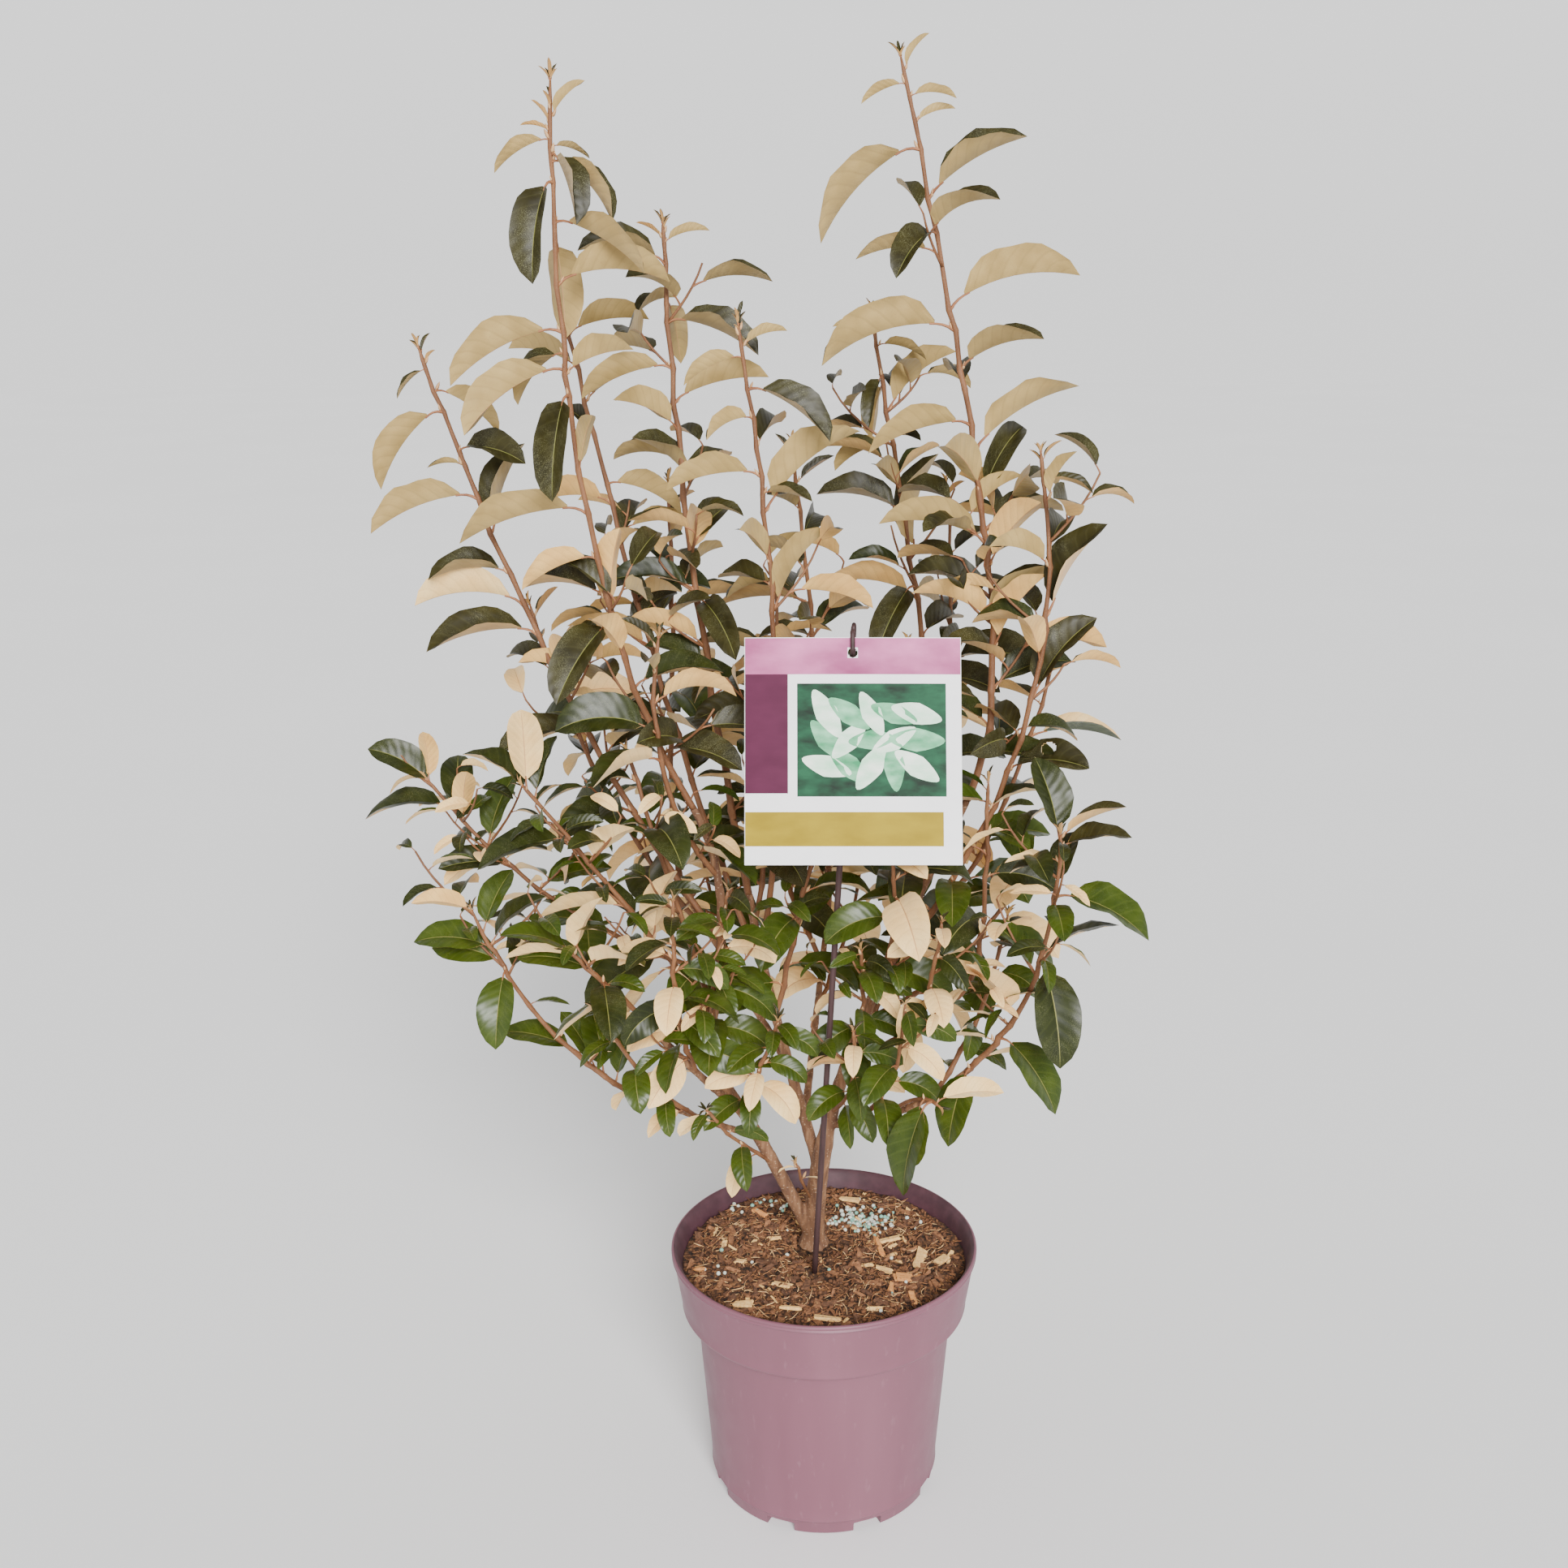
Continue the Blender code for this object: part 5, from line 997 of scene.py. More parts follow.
def ruled_leaf(shoot, controls, t, share, angle, draw, key):
    """A leaf of any other shoot, by the seeded rule."""
    origin = bezier(controls, t)
    angle += math.radians(draw.uniform(-16, 16))
    stem = bezier_heading(controls, t)
    up = (stem * 0.55 + Vector((0.0, 0.0, 0.85))).normalized()
    level = Vector((math.cos(angle), math.sin(angle), 0.0))
    out = (level - up * level.dot(up)).normalized()
    side = up.cross(out)
    height = crown_share(origin)
    young = max(0.0, (share - 0.80) / 0.19) * blend(0.35, 1.0, height)
    size = shoot.leaf_length * draw.uniform(0.86, 1.12) * (1.0 - 0.66 * young**0.8)
    size *= blend(0.84, 1.0, share / 0.25) * (FINER_SIZE if is_fine(shoot) else 1.0)
    bends = (
        math.radians(blend(44, 48, height) + draw.uniform(-8, 8) + 16 * young),
        math.radians(blend(8, 22, height) + draw.uniform(-12, 12) + 26 * young),
        math.radians(blend(-56, -14, height) + draw.uniform(-16, 16) + 44 * young),
    )
    fold = upper_fold(origin, draw)
    facing = math.copysign(1.0, origin.y + 0.4 * out.y) if abs(origin.y) > 0.004 else -1.0
    lean = -blend(42, -16, height) * side.y * facing
    roll = math.radians(lean + draw.gauss(0.0, 20.0))
    return t, Leaf(origin, up, out, side, size, bends, fold, roll, young * 0.8, key, False)


def is_fine(shoot):
    """A short shoot of the lower crown, with more and smaller leaves than its solid."""
    return isinstance(shoot.leaves, str) and shoot.leaf_length > 0.045 and shoot.tip[2] < 0.53


def plan_leaves(shoot, controls, start):
    """Every leaf of a shoot with its place on the twig, as in the solids."""
    draw = random.Random(shoot.seed)
    if isinstance(shoot.leaves, tuple):
        for i, row in enumerate(shoot.leaves):
            yield read_leaf(shoot, controls, row, draw, f"{shoot.seed}_{i}")
        return
    spiral = isinstance(shoot.leaves, int)
    count = shoot.leaves if spiral else len(shoot.leaves)
    if is_fine(shoot):
        count = round(count * (FINER_LEAVES if shoot.tip[0] < 0.03 else FINER_RIGHT))
    turn = draw.uniform(0.0, 2 * math.pi)
    for i, share in enumerate(leaf_places(count)):
        angle = turn + i * SPIRAL_TURN
        if not spiral:
            angle = math.radians(SIDE_ANGLES[shoot.leaves[i % len(shoot.leaves)]])
        yield ruled_leaf(shoot, controls, start + (1.0 - start) * share, share, angle, draw, f"{shoot.seed}_{i}")


def tip_tuft(shoot, controls):
    """The tiny upright leaves that close a shoot's tip."""
    draw = random.Random(shoot.seed + 2000)
    turn = draw.uniform(0.0, 2 * math.pi)
    tip = bezier(controls, 1.0)
    up = bezier_heading(controls, 1.0)
    for i in range(5):
        angle = turn + i * SPIRAL_TURN
        level = Vector((math.cos(angle), math.sin(angle), 0.0))
        out = (level - up * level.dot(up)).normalized()
        size = draw.uniform(0.008, 0.015) * (1.0 - 0.08 * i)
        rise = draw.uniform(46, 78)
        bends = (math.radians(rise), math.radians(rise + 8), math.radians(rise - draw.uniform(4, 26)))
        key = f"{shoot.seed}_tip{i}"
        yield 1.0, Leaf(tip, up, out, up.cross(out), size, bends, math.radians(48), 0.0, 1.0, key, False)


def arc_reach(start, end, length):
    turn = end - start
    if abs(turn) < 1e-4:
        return length * math.cos(start), length * math.sin(start)
    radius = length / turn
    return radius * (math.sin(end) - math.sin(start)), radius * (math.cos(start) - math.cos(end))


def midrib(leaf, s):
    """Place and slope of the midrib at a share of the length."""
    root, base, tip = leaf.bends
    stalk = min(s, PETIOLE_SHARE) / PETIOLE_SHARE
    slope = root + (base - root) * stalk
    run, rise = arc_reach(root, slope, leaf.length * min(s, PETIOLE_SHARE))
    if s > PETIOLE_SHARE:
        blade = (s - PETIOLE_SHARE) / (1.0 - PETIOLE_SHARE)
        slope = base + (tip - base) * blade
        more_run, more_rise = arc_reach(base, slope, leaf.length * (s - PETIOLE_SHARE))
        run += more_run
        rise += more_rise
    return leaf.origin + leaf.out * run + leaf.up * rise, slope


def leaf_frame(leaf, s, twist=0.0):
    """Place, side and normal of the rolled blade at a share of the length."""
    place, slope = midrib(leaf, s)
    heading = leaf.out * math.cos(slope) + leaf.up * math.sin(slope)
    turn = Matrix.Rotation(leaf.roll + twist, 3, heading)
    return place, turn @ leaf.side, turn @ heading.cross(leaf.side)


def blade_template():
    """A leaf's two faces as one closed lens of cells: x runs across, y from base to tip, z is 1 above, -1 below.
    Material 0 is the top, 1 its rib, 2 the underside, 3 its rib."""
    shape = bmesh.new()
    bmesh.ops.create_grid(shape, x_segments=5, y_segments=BLADE_ROWS, size=1.0)
    columns = sorted({round(v.co.x, 5) for v in shape.verts})
    places = dict(zip(columns, (-1.0, -0.52, -RIB_SHARE, RIB_SHARE, 0.52, 1.0)))
    for vertex in shape.verts:
        vertex.co.x = places[round(vertex.co.x, 5)]
    for face in shape.faces:
        face.material_index = int(abs(face.calc_center_median().x) < 0.1)
    back = bmesh.ops.duplicate(shape, geom=shape.verts[:] + shape.edges[:] + shape.faces[:])["geom"]
    under = [item for item in back if isinstance(item, bmesh.types.BMFace)]
    bmesh.ops.reverse_faces(shape, faces=under)
    low = {item for item in back if isinstance(item, bmesh.types.BMVert)}
    for face in under:
        face.material_index += 2
    for vertex in shape.verts:
        inner = abs(vertex.co.x) < 0.99 and abs(vertex.co.y) < 0.99
        vertex.co.z = (-1.0 if vertex in low else 1.0) if inner else 0.0
    bmesh.ops.remove_doubles(shape, verts=shape.verts, dist=1e-5)
    surface = shape.loops.layers.uv.new("leaf")
    for face in shape.faces:
        for loop in face.loops:
            loop[surface].uv = (abs(loop.vert.co.x), (loop.vert.co.y + 1) / 2)
    for edge in shape.edges:
        tops = {face.material_index < 2 for face in edge.link_faces}
        edge.smooth = len(tops) == 1
    return shape


def gnawed_template(template):
    """The same blade in finer cells, with a hole and a bite out of its margin."""
    shape = template.copy()
    bmesh.ops.subdivide_edges(shape, edges=shape.edges[:], cuts=5, use_grid_fill=True)
    for x, y, across, along in GNAWED:
        gone = [face for face in shape.faces
                if math.hypot((face.calc_center_median().x - x) / across, (face.calc_center_median().y - y) / along) < 1]
        bmesh.ops.delete(shape, geom=gone, context="FACES")
        rims = [edge for edge in shape.edges if edge.is_boundary]
        if abs(x) + across < 1.0:
            bmesh.ops.bridge_loops(shape, edges=rims)
        else:
            bmesh.ops.holes_fill(shape, edges=rims)
    return shape


def stalk_template():
    """A short open tube: x and z run round it, y along it."""
    shape = bmesh.new()
    bmesh.ops.create_grid(shape, x_segments=STALK_SIDES, y_segments=4, size=1.0)
    for vertex in shape.verts:
        angle = math.pi * vertex.co.x
        vertex.co.x, vertex.co.z = math.cos(angle), math.sin(angle)
    bmesh.ops.remove_doubles(shape, verts=shape.verts, dist=1e-5)
    bmesh.ops.recalc_face_normals(shape, faces=shape.faces)
    return shape


def half_width(leaf):
    return leaf.length * LEAF_HALF_WIDTH * blend(0.6, 1.0, (leaf.length - 0.02) / 0.03)


def blade_width(b):
    """The outline: rounded at the base, drawn out to the tip, widest before the middle."""
    return (b + 0.004) ** 0.60 * (1.0 - b) ** 0.74 / 0.387


def add_blade(shape, template, leaf, draw, shift):
    """One leaf's blade, bent, folded, waved and rolled."""
    width = half_width(leaf) * draw.uniform(0.94, 1.10)
    twist = math.radians(draw.gauss(0.0, 12.0))
    wave = leaf.length * draw.uniform(0.006, 0.022)
    waves = draw.uniform(1.6, 2.8)
    phases = (draw.uniform(0, 6.28), draw.uniform(0, 6.28))
    thick = min(BLADE_THICKNESS, leaf.length * 0.009)
    made = template.copy()
    rows = {}
    for vertex in made.verts:
        x, y, z = vertex.co
        b = (y + 1.0) / 2.0
        if y not in rows:
            s = PETIOLE_SHARE + (1.0 - PETIOLE_SHARE) * b
            rows[y] = leaf_frame(leaf, s, twist * b)
        place, side, normal = rows[y]
        fold = leaf.fold * (0.72 + 0.28 * math.sin(math.pi * min(1.0, b + 0.1)))
        across = x * width * blade_width(b)
        lift = abs(across) * math.sin(fold)
        lift += wave * abs(x) ** 1.5 * math.sin(6.28 * waves * b + phases[x > 0]) * math.sin(math.pi * b)
        lift += 0.10 * width * blade_width(b) * (1.0 - (2.0 * abs(x) - 1.0) ** 2)
        rib = 0.9 if abs(x) < 0.1 else 0.0
        lift += z * thick / 2 - (thick * rib * (1.0 - 0.6 * b))
        vertex.co = place + side * (across * math.cos(fold)) + normal * lift
    for face in made.faces:
        face.material_index += shift
    join_into(shape, made)


def add_stalk(shape, template, leaf, radius):
    """The petiole, from inside the twig to the blade's base."""
    made = template.copy()
    for vertex in made.verts:
        x, y, z = vertex.co
        share = (y + 1.0) / 2.0
        s = PETIOLE_SHARE * 1.25 * share
        place, side, normal = leaf_frame(leaf, s)
        girth = radius * (1.25 - 0.55 * share)
        vertex.co = place + side * (x * girth) + normal * (z * girth - radius * 0.5 * share)
    join_into(shape, made)


def join_into(shape, made):
    data = bpy.data.meshes.new("part")
    made.to_mesh(data)
    made.free()
    shape.from_mesh(data)
    bpy.data.meshes.remove(data)


def bvh_of(shapes):
    points, faces = [], []
    for corners, polygons in shapes:
        first = len(points)
        points.extend(corners)
        faces.extend([first + i for i in polygon] for polygon in polygons)
    return BVHTree.FromPolygons(points, faces)


def node_shape(name):
    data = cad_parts[name].data
    return [v.co.copy() for v in data.vertices], [tuple(p.vertices) for p in data.polygons]


def leaf_plate(leaf):
    """Four corners of a leaf, for the test that it touches nothing."""
    corners = []
    for s, x in ((0.22, 0.0), (0.55, -1.0), (1.0, 0.0), (0.55, 1.0)):
        place, side, normal = leaf_frame(leaf, s)
        across = x * half_width(leaf)
        corners.append(place + side * (across * math.cos(leaf.fold)) + normal * (abs(across) * math.sin(leaf.fold)))
    return corners, [(0, 1, 2), (0, 2, 3)]


def shoot_start(shoot, curves, controls):
    """The share of the shoot that its carrier's thickness takes."""
    radii = curves[shoot.carrier][1]
    thick = blend(radii[0], radii[1], shoot.at)
    return (0.0012 if shoot.at >= 1.0 else thick * 1.15) / (controls[3] - controls[0]).length


def twig_radius(foot_radius, t):
    """Full to near the tip, then quickly thinner, as in the solids."""
    return TWIG_TIP_RADIUS + (foot_radius - TWIG_TIP_RADIUS) * max(0.0, 1.0 - t) ** SHOOT_TAPER


def sways(nodes):
    """Stops of a twig's zigzag: at each leaf it gives way a little to the other side."""
    stops = [(0.0, Vector())]
    for t, out in sorted(nodes, key=lambda node: node[0]):
        if t - stops[-1][0] > 0.02 and t < 0.97:
            stops.append((t, -out))
    return stops + [(1.0, Vector())]


def twig_route(controls, foot_radius, nodes):
    """Points and radii of a twig, swollen at its leaves."""
    length = (controls[3] - controls[0]).length
    count = max(8, int(length / 0.006))
    stops = sways(nodes)
    route = []
    for t in sorted({i / count for i in range(count + 1)} | {t for t, _ in nodes}):
        radius = twig_radius(foot_radius, t) * 0.96
        near = min((abs(t - node) * length for node, _ in nodes), default=1.0)
        radius *= 1.0 + 0.22 * math.exp(-((near / 0.0022) ** 2))
        k = max(i for i, stop in enumerate(stops[:-1]) if stop[0] <= t)
        (first, before), (second, after) = stops[k], stops[k + 1]
        sway = before.lerp(after, (t - first) / (second - first))
        if t > 0.99:
            radius *= 0.7
        route.append((bezier(controls, t) + sway * min(ZIGZAG, radius * 0.6), radius))
    return route


def bud_route(leaf, radius, draw):
    """A small pointed bud in a leaf's axil."""
    long = draw.uniform(0.003, 0.0062)
    heading = (leaf.up + leaf.out * draw.uniform(0.2, 0.6)).normalized()
    foot = leaf.origin + leaf.out * radius * 0.8 + leaf.up * 0.001
    girths = ((0.0, 0.15), (0.3, 0.21), (0.65, 0.16), (1.0, 0.03))
    return [(foot + heading * long * share, long * girth) for share, girth in girths]


def side_share(leaf):
    """How often a leaf's axil bears a side twig: seldom near the foot, often in the dense middle, and high up
    only inside and behind."""
    height = leaf.origin.z
    if height < 0.56:
        return blend(0.08, 0.45, (height - 0.34) / 0.12) * (0.6 if leaf.origin.x > 0.04 else 1.0)
    return 0.60 if height < 0.82 and (leaf.origin.y > 0.0 or leaf.out.y > 0.1) else 0.08


def side_twigs(shoot, controls, planned):
    """Short twigs in the leaf axils of the lower crown, each with its own few leaves."""
    draw = random.Random(shoot.seed + 1000)
    for t, leaf in planned:
        low = leaf.origin.z < 0.56
        if leaf.young > 0.0 or draw.random() > side_share(leaf):
            continue
        length = draw.uniform(0.026, 0.052)
        heading = (leaf.out * 0.75 + leaf.up * draw.uniform(0.4, 0.9)).normalized()
        tip = leaf.origin + heading * length + Vector((0.0, 0.0, length * 0.25))
        bent = (leaf.origin, leaf.origin + heading * length * 0.35, leaf.origin + heading * length * 0.75, tip)
        leaves = []
        count = draw.choice((3, 4, 5)) if low else 3
        turn = draw.uniform(0.0, 6.28)
        for i in range(count):
            share = (i + 1.0) / count
            origin = bezier(bent, share)
            up = (heading * 0.6 + Vector((0.0, 0.0, 0.8))).normalized()
            angle = turn + i * SPIRAL_TURN
            level = Vector((math.cos(angle), math.sin(angle), 0.0))
            out = (level - up * level.dot(up)).normalized()
            size = shoot.leaf_length * (draw.uniform(0.48, 0.72) if low else draw.uniform(0.72, 0.98)) * (1.0 - 0.3 * share)
            height = crown_share(origin)
            bends = (math.radians(50), math.radians(blend(12, 30, height) + draw.uniform(-12, 12)),
                     math.radians(blend(-44, -10, height) + draw.uniform(-14, 14)))
            fold = math.radians(blend(16, 44, height) + draw.uniform(-6, 6))
            roll = math.radians(draw.gauss(0.0, 20.0))
            key = f"{leaf.key}_{i}"
            leaves.append(Leaf(origin, up, out, up.cross(out), size, bends, fold, roll, 0.0, key, False))
        yield bent, leaves


def grow(curves):
    """Routes of the twigs and of the buds, and (leaf, twig radius) pairs."""
    solid_names = ["pot", "soil", "label_card", "label_stick", "trunk"] + [bough.name for bough in BOUGHS]
    solids = [node_shape(name) for name in solid_names]
    low, high = CAD_BOX
    routes, buds, leaves, plates = [], [], [], []
    for shoot in SHOOTS:
        controls = limb_controls(curves[shoot.carrier][0], shoot.at, shoot.knee, shoot.tip)
        start = shoot_start(shoot, curves, controls)
        planned = list(plan_leaves(shoot, controls, start))
        others = bvh_of(solids + plates)
        own = []
        draw = random.Random(shoot.seed + 500)

        def fits(leaf):
            plate = leaf_plate(leaf)
            inside = all(low[i] - 0.004 < c[i] < high[i] + 0.004 for c in plate[0] for i in range(3))
            above = min(c.z for c in plate[0]) > LOWEST_LEAF
            return inside and above and not bvh_of([plate]).overlap(others) and not (
                own and bvh_of([plate]).overlap(bvh_of(own)))

        kept = []
        for t, leaf in planned:
            if fits(leaf):
                kept.append((t, leaf))
                own.append(leaf_plate(leaf))
                leaves.append(leaf)
                if draw.random() < BUD_SHARE:
                    buds.append(bud_route(leaf, twig_radius(shoot.foot_radius, t), draw))
        leaves.extend(leaf for _, leaf in tip_tuft(shoot, controls))
        routes.append(twig_route(controls, shoot.foot_radius, [(t, leaf.out) for t, leaf in kept]))
        for bent, more in side_twigs(shoot, controls, planned):
            chosen = [leaf for leaf in more if fits(leaf)]
            if not chosen:
                continue
            own.extend(leaf_plate(leaf) for leaf in chosen)
            leaves.extend(chosen)
            routes.append([(bezier(bent, i / 6), blend(0.0011, 0.0007, i / 6)) for i in range(7)])
        plates.extend(own)
    return routes, buds, leaves


def leaf_kind(leaf, draw):
    """Which of the looks a leaf gets: greener and paler below low down, duskier and browner high up, where the olive
    undersides are painted shade.
    """
    if leaf.young > 0.55:
        return 5
    turned = blend(TURNED_SHARE, TURNED_RIGHT, (leaf.origin.x - 0.02) / 0.06) * (0.4 if leaf.length > 0.056 else 1.0)
    if not leaf.read and draw.random() < turned * blend(1.0, 0.0, (leaf.origin.z - 0.50) / 0.14):
        return 6
    climb = crown_share(leaf.origin) * 0.80 + draw.gauss(0.0, 0.20)
    return max(0, min(4, int(climb * 5)))


def build_foliage(curves):
    routes, buds, leaves = grow(curves)
    masses = [shoot.name for shoot in SHOOTS]
    bark = twig_look("twig_rust", (0.125, 0.046, 0.016), (0.23, 0.098, 0.038))
    twigs = piece_of("shoot_twigs", tube_bundle("shoot_twigs", routes, 1), [bark])
    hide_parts(*masses)
    tips = piece_of("axil_buds", tube_bundle("axil_buds", buds, 0), [twig_look("bud_tan", (0.46, 0.24, 0.10),
                                                                                (0.70, 0.46, 0.24))])
    blade, stalk = blade_template(), stalk_template()
    gnawed = gnawed_template(blade)
    rib_top = twig_look("rib_top", (0.120, 0.135, 0.022), (0.190, 0.180, 0.045))
    rib_under = twig_look("rib_under", (0.44, 0.22, 0.09), (0.58, 0.33, 0.15))
    tops = [leaf_top_look("top_bright", (0.026, 0.044, 0.003), (0.048, 0.071, 0.006), (0.07, 0.095, 0.014), 0.10, 0.27),
            leaf_top_look("top_deep", (0.012, 0.016, 0.002), (0.024, 0.030, 0.004), (0.04, 0.048, 0.010), 0.20, 0.32),
            leaf_top_look("top_dusky", (0.018, 0.015, 0.003), (0.034, 0.029, 0.005), (0.05, 0.046, 0.014), 0.28, 0.40)]
    unders = [leaf_under_look("under_cream", (0.84, 0.53, 0.19), (0.90, 0.64, 0.29)),
              leaf_under_look("under_tan", (0.66, 0.37, 0.105), (0.82, 0.51, 0.165)),
              # The olive underside is a darker, greyer copy of the underside felt: painted shade for undersides high in
              # the crown.
              leaf_under_look("under_olive_shaded", (0.34, 0.225, 0.066), (0.48, 0.33, 0.115)),
              leaf_under_look("under_bronze", (0.38, 0.195, 0.055), (0.52, 0.29, 0.085))]
    kinds = []
    for top, under in ((0, 0), (1, 0), (1, 1), (2, 1), (2, 2), (2, 3)):
        kinds += [tops[top], rib_top, unders[under], rib_under]
    kinds += [unders[0], rib_under, tops[0], rib_top]
    stalks = bmesh.new()
    shapes = {"leaves_low": bmesh.new(), "leaves_high": bmesh.new()}
    for leaf in leaves:
        draw = random.Random(leaf.key)
        kind = leaf_kind(leaf, draw)
        template = gnawed if leaf.key == GNAWED_LEAF else blade
        add_blade(shapes["leaves_high" if leaf.origin.z > 0.56 else "leaves_low"], template, leaf, draw, kind * 4)
        add_stalk(stalks, stalk, leaf, min(0.00095, max(0.0004, leaf.length * 0.0128)))
    print("leaves", len(leaves), "twigs", len(routes))
    for name, shape in shapes.items():
        made = piece_from(name, shape, kinds)
        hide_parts(*masses)
    made = piece_from("leaf_stalks", stalks, [twig_look("stalk_red", (0.22, 0.075, 0.028), (0.36, 0.155, 0.065))])


# Label


def card_axes():
    across = Vector((1.0, 0.0, 0.0))
    upward = (CARD_TOP - CARD_FOOT).normalized()
    return across, upward, across.cross(upward)


def on_card(u, v, w):
    """A point by its place across the card, up it and out of its face, with the card's slight bow."""
    across, upward, outward = card_axes()
    middle = (CARD_TOP + CARD_FOOT) / 2
    bow = CARD_BOW * ((2 * u / CARD_WIDTH) ** 2 - 0.5)
    return middle + across * u + upward * v + outward * (w - bow)


def lay_on_card(shape):
    for vertex in shape.verts:
        vertex.co = on_card(*vertex.co)


def add_panel(shape, left, right, low, high, layer, look, cells=12):
    """A printed area: a thin plate between four sides of the card."""
    place = Matrix.Translation(((left + right) / 2, (low + high) / 2, CARD_THICKNESS / 2 + 0.00009 * layer))
    size = Matrix.Diagonal(((right - left) / 2, (high - low) / 2, 1.0, 1.0))
    made = bmesh.ops.create_grid(shape, x_segments=cells, y_segments=cells, size=1.0, matrix=place @ size)
    for face in {face for vertex in made["verts"] for face in vertex.link_faces}:
        face.material_index = look


def add_motif(shape, u, v, long, turn, layer, look):
    """A plain printed leaf: a disc drawn out to a point at each end."""
    place = Matrix.Translation((u, v, CARD_THICKNESS / 2 + 0.00009 * layer)) @ Matrix.Rotation(turn, 4, "Z")
    made = bmesh.ops.create_circle(shape, cap_ends=True, segments=20, radius=1.0)
    for vertex in made["verts"]:
        x, y = vertex.co.x, vertex.co.y
        vertex.co.x, vertex.co.y = x * long, y * long * 0.42 * (1.0 - 0.35 * abs(x))
    bmesh.ops.transform(shape, matrix=place, verts=made["verts"])
    for face in {face for vertex in made["verts"] for face in vertex.link_faces}:
        face.material_index = look


def build_card():
    shape = bmesh.new()
    size = Matrix.Diagonal((CARD_WIDTH, CARD_HEIGHT, CARD_THICKNESS, 1.0))
    bmesh.ops.create_cube(shape, size=1.0, matrix=size)
    for i in range(1, 14):
        place = (CARD_WIDTH * (i / 14 - 0.5), 0.0, 0.0)
        bmesh.ops.bisect_plane(shape, geom=shape.verts[:] + shape.edges[:] + shape.faces[:], plane_co=place,
                               plane_no=(1.0, 0.0, 0.0))
    data = bpy.data.meshes.new("card_flat")
    shape.to_mesh(data)
    shape.free()
    card = loose_object("card_flat", data)
    hole = bmesh.new()
    bmesh.ops.create_cone(hole, cap_ends=True, segments=40, radius1=CARD_HOLE_RADIUS, radius2=CARD_HOLE_RADIUS,
                          depth=0.01)
    bmesh.ops.translate(hole, vec=(0.0, CARD_HEIGHT / 2 - CARD_HOLE_DROP, 0.0), verts=hole.verts)
    hole_data = bpy.data.meshes.new("card_hole")
    hole.to_mesh(hole_data)
    hole.free()
    cutter = loose_object("card_hole", hole_data)
    cut = card.modifiers.new("hole", "BOOLEAN")
    cut.operation = "DIFFERENCE"
    cut.solver = "EXACT"
    cut.object = cutter
    bpy.context.view_layer.update()
    flat = evaluated_mesh(card)
    drop(card)
    drop(cutter)
    shape = bmesh.new()
    shape.from_mesh(flat)
    lay_on_card(shape)
    white = printed_look("card_white", (0.86, 0.85, 0.86), (0.90, 0.89, 0.89))
    made = piece_from("label_sheet", shape, [white], smooth=False)
    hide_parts("label_card")


def build_print():
    """A plain print of the photo's colours: a rose band and a plum strip, a dark panel with pale leaves and an
    ochre bar."""
    half, top = CARD_WIDTH / 2, CARD_HEIGHT / 2
    shape = bmesh.new()
    add_panel(shape, -half + 0.0004, half - 0.0004, top - 0.024, top - 0.0134, 1, 0)
    add_panel(shape, -half + 0.0004, half - 0.0004, top - 0.0066, top - 0.0004, 1, 0)
    add_panel(shape, -half + 0.0004, -0.0034, top - 0.0134, top - 0.0066, 1, 0)
    add_panel(shape, 0.0034, half - 0.0004, top - 0.0134, top - 0.0066, 1, 0)
    add_panel(shape, -half + 0.0004, -half + 0.028, -top + 0.046, top - 0.024, 1, 1)
    add_panel(shape, -half + 0.034, half - 0.010, -top + 0.044, top - 0.030, 1, 2)
    add_panel(shape, -half + 0.0004, half - 0.012, -top + 0.012, -top + 0.034, 1, 5)
    draw = random.Random(81)
    for i in range(15):
        column, row = i % 5, i // 5
        u = -0.017 + column * 0.0145
        v = -0.010 + row * 0.017
        add_motif(shape, u, v, draw.uniform(0.0150, 0.0185), draw.uniform(0, 6.28), 2 + i * 0.12, 3 + i % 2)
    lay_on_card(shape)
    looks = [printed_look("ink_rose", (0.22, 0.026, 0.105), (0.70, 0.21, 0.42), 14.0),
             printed_look("ink_plum", (0.066, 0.0055, 0.028), (0.084, 0.010, 0.038)),
             printed_look("ink_panel", (0.004, 0.014, 0.007), (0.012, 0.090, 0.040), 60.0),
             printed_look("ink_pale_leaf", (0.45, 0.76, 0.52), (0.90, 0.94, 0.84), 60.0),
             printed_look("ink_green_leaf", (0.030, 0.25, 0.10), (0.26, 0.60, 0.36), 60.0),
             printed_look("ink_ochre", (0.27, 0.185, 0.003), (0.36, 0.26, 0.008), 40.0)]
    made = piece_from("label_print", shape, looks, smooth=False)


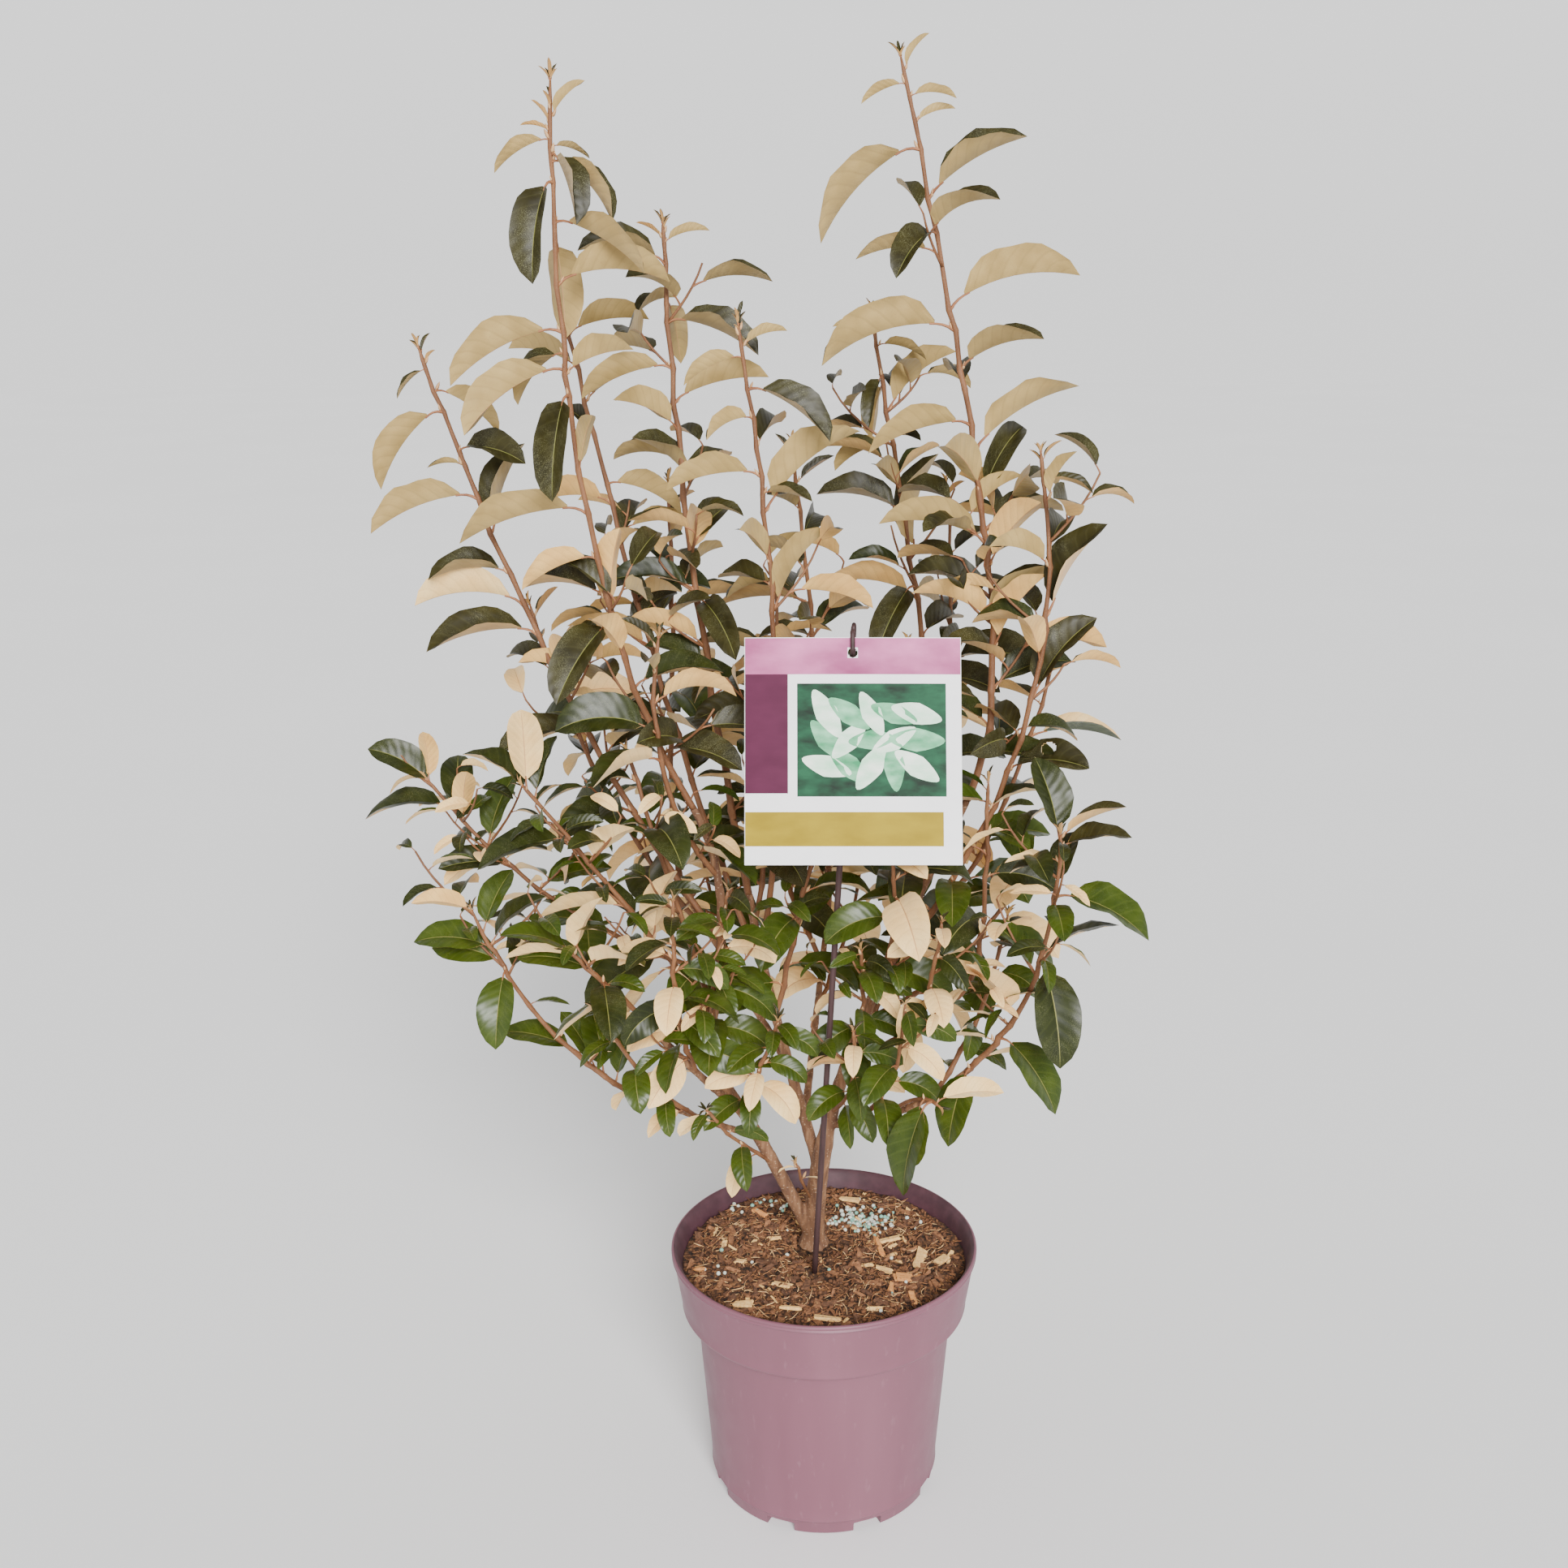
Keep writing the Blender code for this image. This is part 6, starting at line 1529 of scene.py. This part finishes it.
def build_stick():
    """The stick, its hook over the card's top edge and its end in the hole."""
    _, upward, outward = card_axes()
    hole = CARD_TOP - upward * CARD_HOLE_DROP
    stand = HOOK_RADIUS + CARD_THICKNESS / 2 + 0.0004
    behind = STICK_TOP - STICK_FOOT
    over = CARD_TOP + upward * (HOOK_RADIUS + 0.0006)
    corners = [STICK_FOOT, STICK_FOOT + behind * 0.35, STICK_FOOT + behind * 0.70,
               STICK_TOP - behind.normalized() * 0.006, over - outward * stand + upward * 0.0005,
               over + upward * 0.0012, over + outward * stand + upward * 0.0005,
               CARD_TOP + outward * (stand + 0.0004) - upward * 0.004,
               hole + outward * (stand + 0.0004) + upward * 0.0012, hole - outward * 0.0012]
    route = []
    for i in range(len(corners) - 1):
        before, first = corners[max(i - 1, 0)], corners[i]
        second, after = corners[i + 1], corners[min(i + 2, len(corners) - 1)]
        steps = 14 if i < 3 else 5
        for step in range(steps):
            t = step / steps
            smooth = (first * 2 + (second - before) * t + (before * 2 - first * 5 + second * 4 - after) * t**2
                      + (first * 3 - before - second * 3 + after) * t**3) / 2
            straight = first.lerp(second, t)
            route.append((straight if i < 3 else smooth, STICK_RADIUS if i < 3 else HOOK_RADIUS))
    route.append((corners[-1], HOOK_RADIUS))
    made = piece_of("hook_stick", tube_bundle("hook_stick", route_list(route), 4), [stick_look()])
    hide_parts("label_stick")


def route_list(route):
    return [route]


# Stage, light and camera


def build_stage():
    shape = bmesh.new()
    bmesh.ops.create_circle(shape, cap_ends=True, segments=96, radius=14.0)
    bmesh.ops.translate(shape, vec=(0.0, 0.0, -0.0005), verts=shape.verts)
    data = bpy.data.meshes.new("studio_floor")
    shape.to_mesh(data)
    shape.free()
    floor = loose_object("studio_floor", data)
    look = new_look("floor_pale", (0.92, 0.92, 0.92), 0.8)
    tone = pattern(look, 1.5)
    paint(look, ramp(look, tone, [(0.3, (0.91, 0.91, 0.91)), (0.7, (0.93, 0.93, 0.93))]))
    data.materials.append(look)


def build_sky():
    """A white studio, brightest round the horizon."""
    world = bpy.data.worlds.new("studio")
    world.use_nodes = True
    nodes, links = world.node_tree.nodes, world.node_tree.links
    place = nodes.new("ShaderNodeTexCoord")
    split = nodes.new("ShaderNodeSeparateXYZ")
    rise = nodes.new("ShaderNodeMapRange")
    rise.inputs["From Min"].default_value = 0.12
    rise.inputs["From Max"].default_value = 0.60
    rise.inputs["To Min"].default_value = HORIZON_LIGHT
    rise.inputs["To Max"].default_value = ZENITH_LIGHT
    links.new(place.outputs["Generated"], split.inputs["Vector"])
    links.new(split.outputs["Z"], rise.inputs["Value"])
    # A little less light low down, so that the floor meets the sky without a line
    haze = nodes.new("ShaderNodeMapRange")
    haze.inputs["From Min"].default_value = 0.0
    haze.inputs["From Max"].default_value = 0.35
    haze.inputs["To Min"].default_value = FLOOR_MATCH
    links.new(split.outputs["Z"], haze.inputs["Value"])
    strength = nodes.new("ShaderNodeMath")
    strength.operation = "MULTIPLY"
    links.new(rise.outputs["Result"], strength.inputs[0])
    links.new(haze.outputs["Result"], strength.inputs[1])
    links.new(strength.outputs["Value"], nodes["Background"].inputs["Strength"])
    nodes["Background"].inputs["Color"].default_value = (1.0, 1.0, 1.0, 1.0)
    bpy.context.scene.world = world


def add_sun(name, heading, strength, spread):
    data = bpy.data.lights.new(name, "SUN")
    data.energy = strength
    data.angle = math.radians(spread)
    made = loose_object(name, data)
    made.rotation_euler = Vector(heading).to_track_quat("-Z", "Y").to_euler()


def build_camera():
    data = bpy.data.cameras.new("photo_view")
    data.sensor_width = SENSOR
    data.lens = FOCAL_PIXELS / PHOTO_SIZE * SENSOR
    data.shift_x = -(MIDDLE_PIXEL - PHOTO_SIZE / 2) / PHOTO_SIZE
    made = loose_object("photo_view", data)
    made.location = (0.0, -VIEW_DISTANCE, VIEW_HEIGHT)
    made.rotation_euler = (math.pi / 2 - VIEW_PITCH, 0.0, 0.0)
    bpy.context.scene.camera = made


build_camera()
build_stage()
build_sky()
add_sun("key_front", (-0.16, 0.85, -0.45), KEY_LIGHT, 26)
build_pot()
build_soil()
build_chips()
build_fibres()
build_crumbs()
build_granules()
limbs = limb_curves()
build_limbs(limbs)
build_foliage(limbs)
build_card()
build_print()
build_stick()
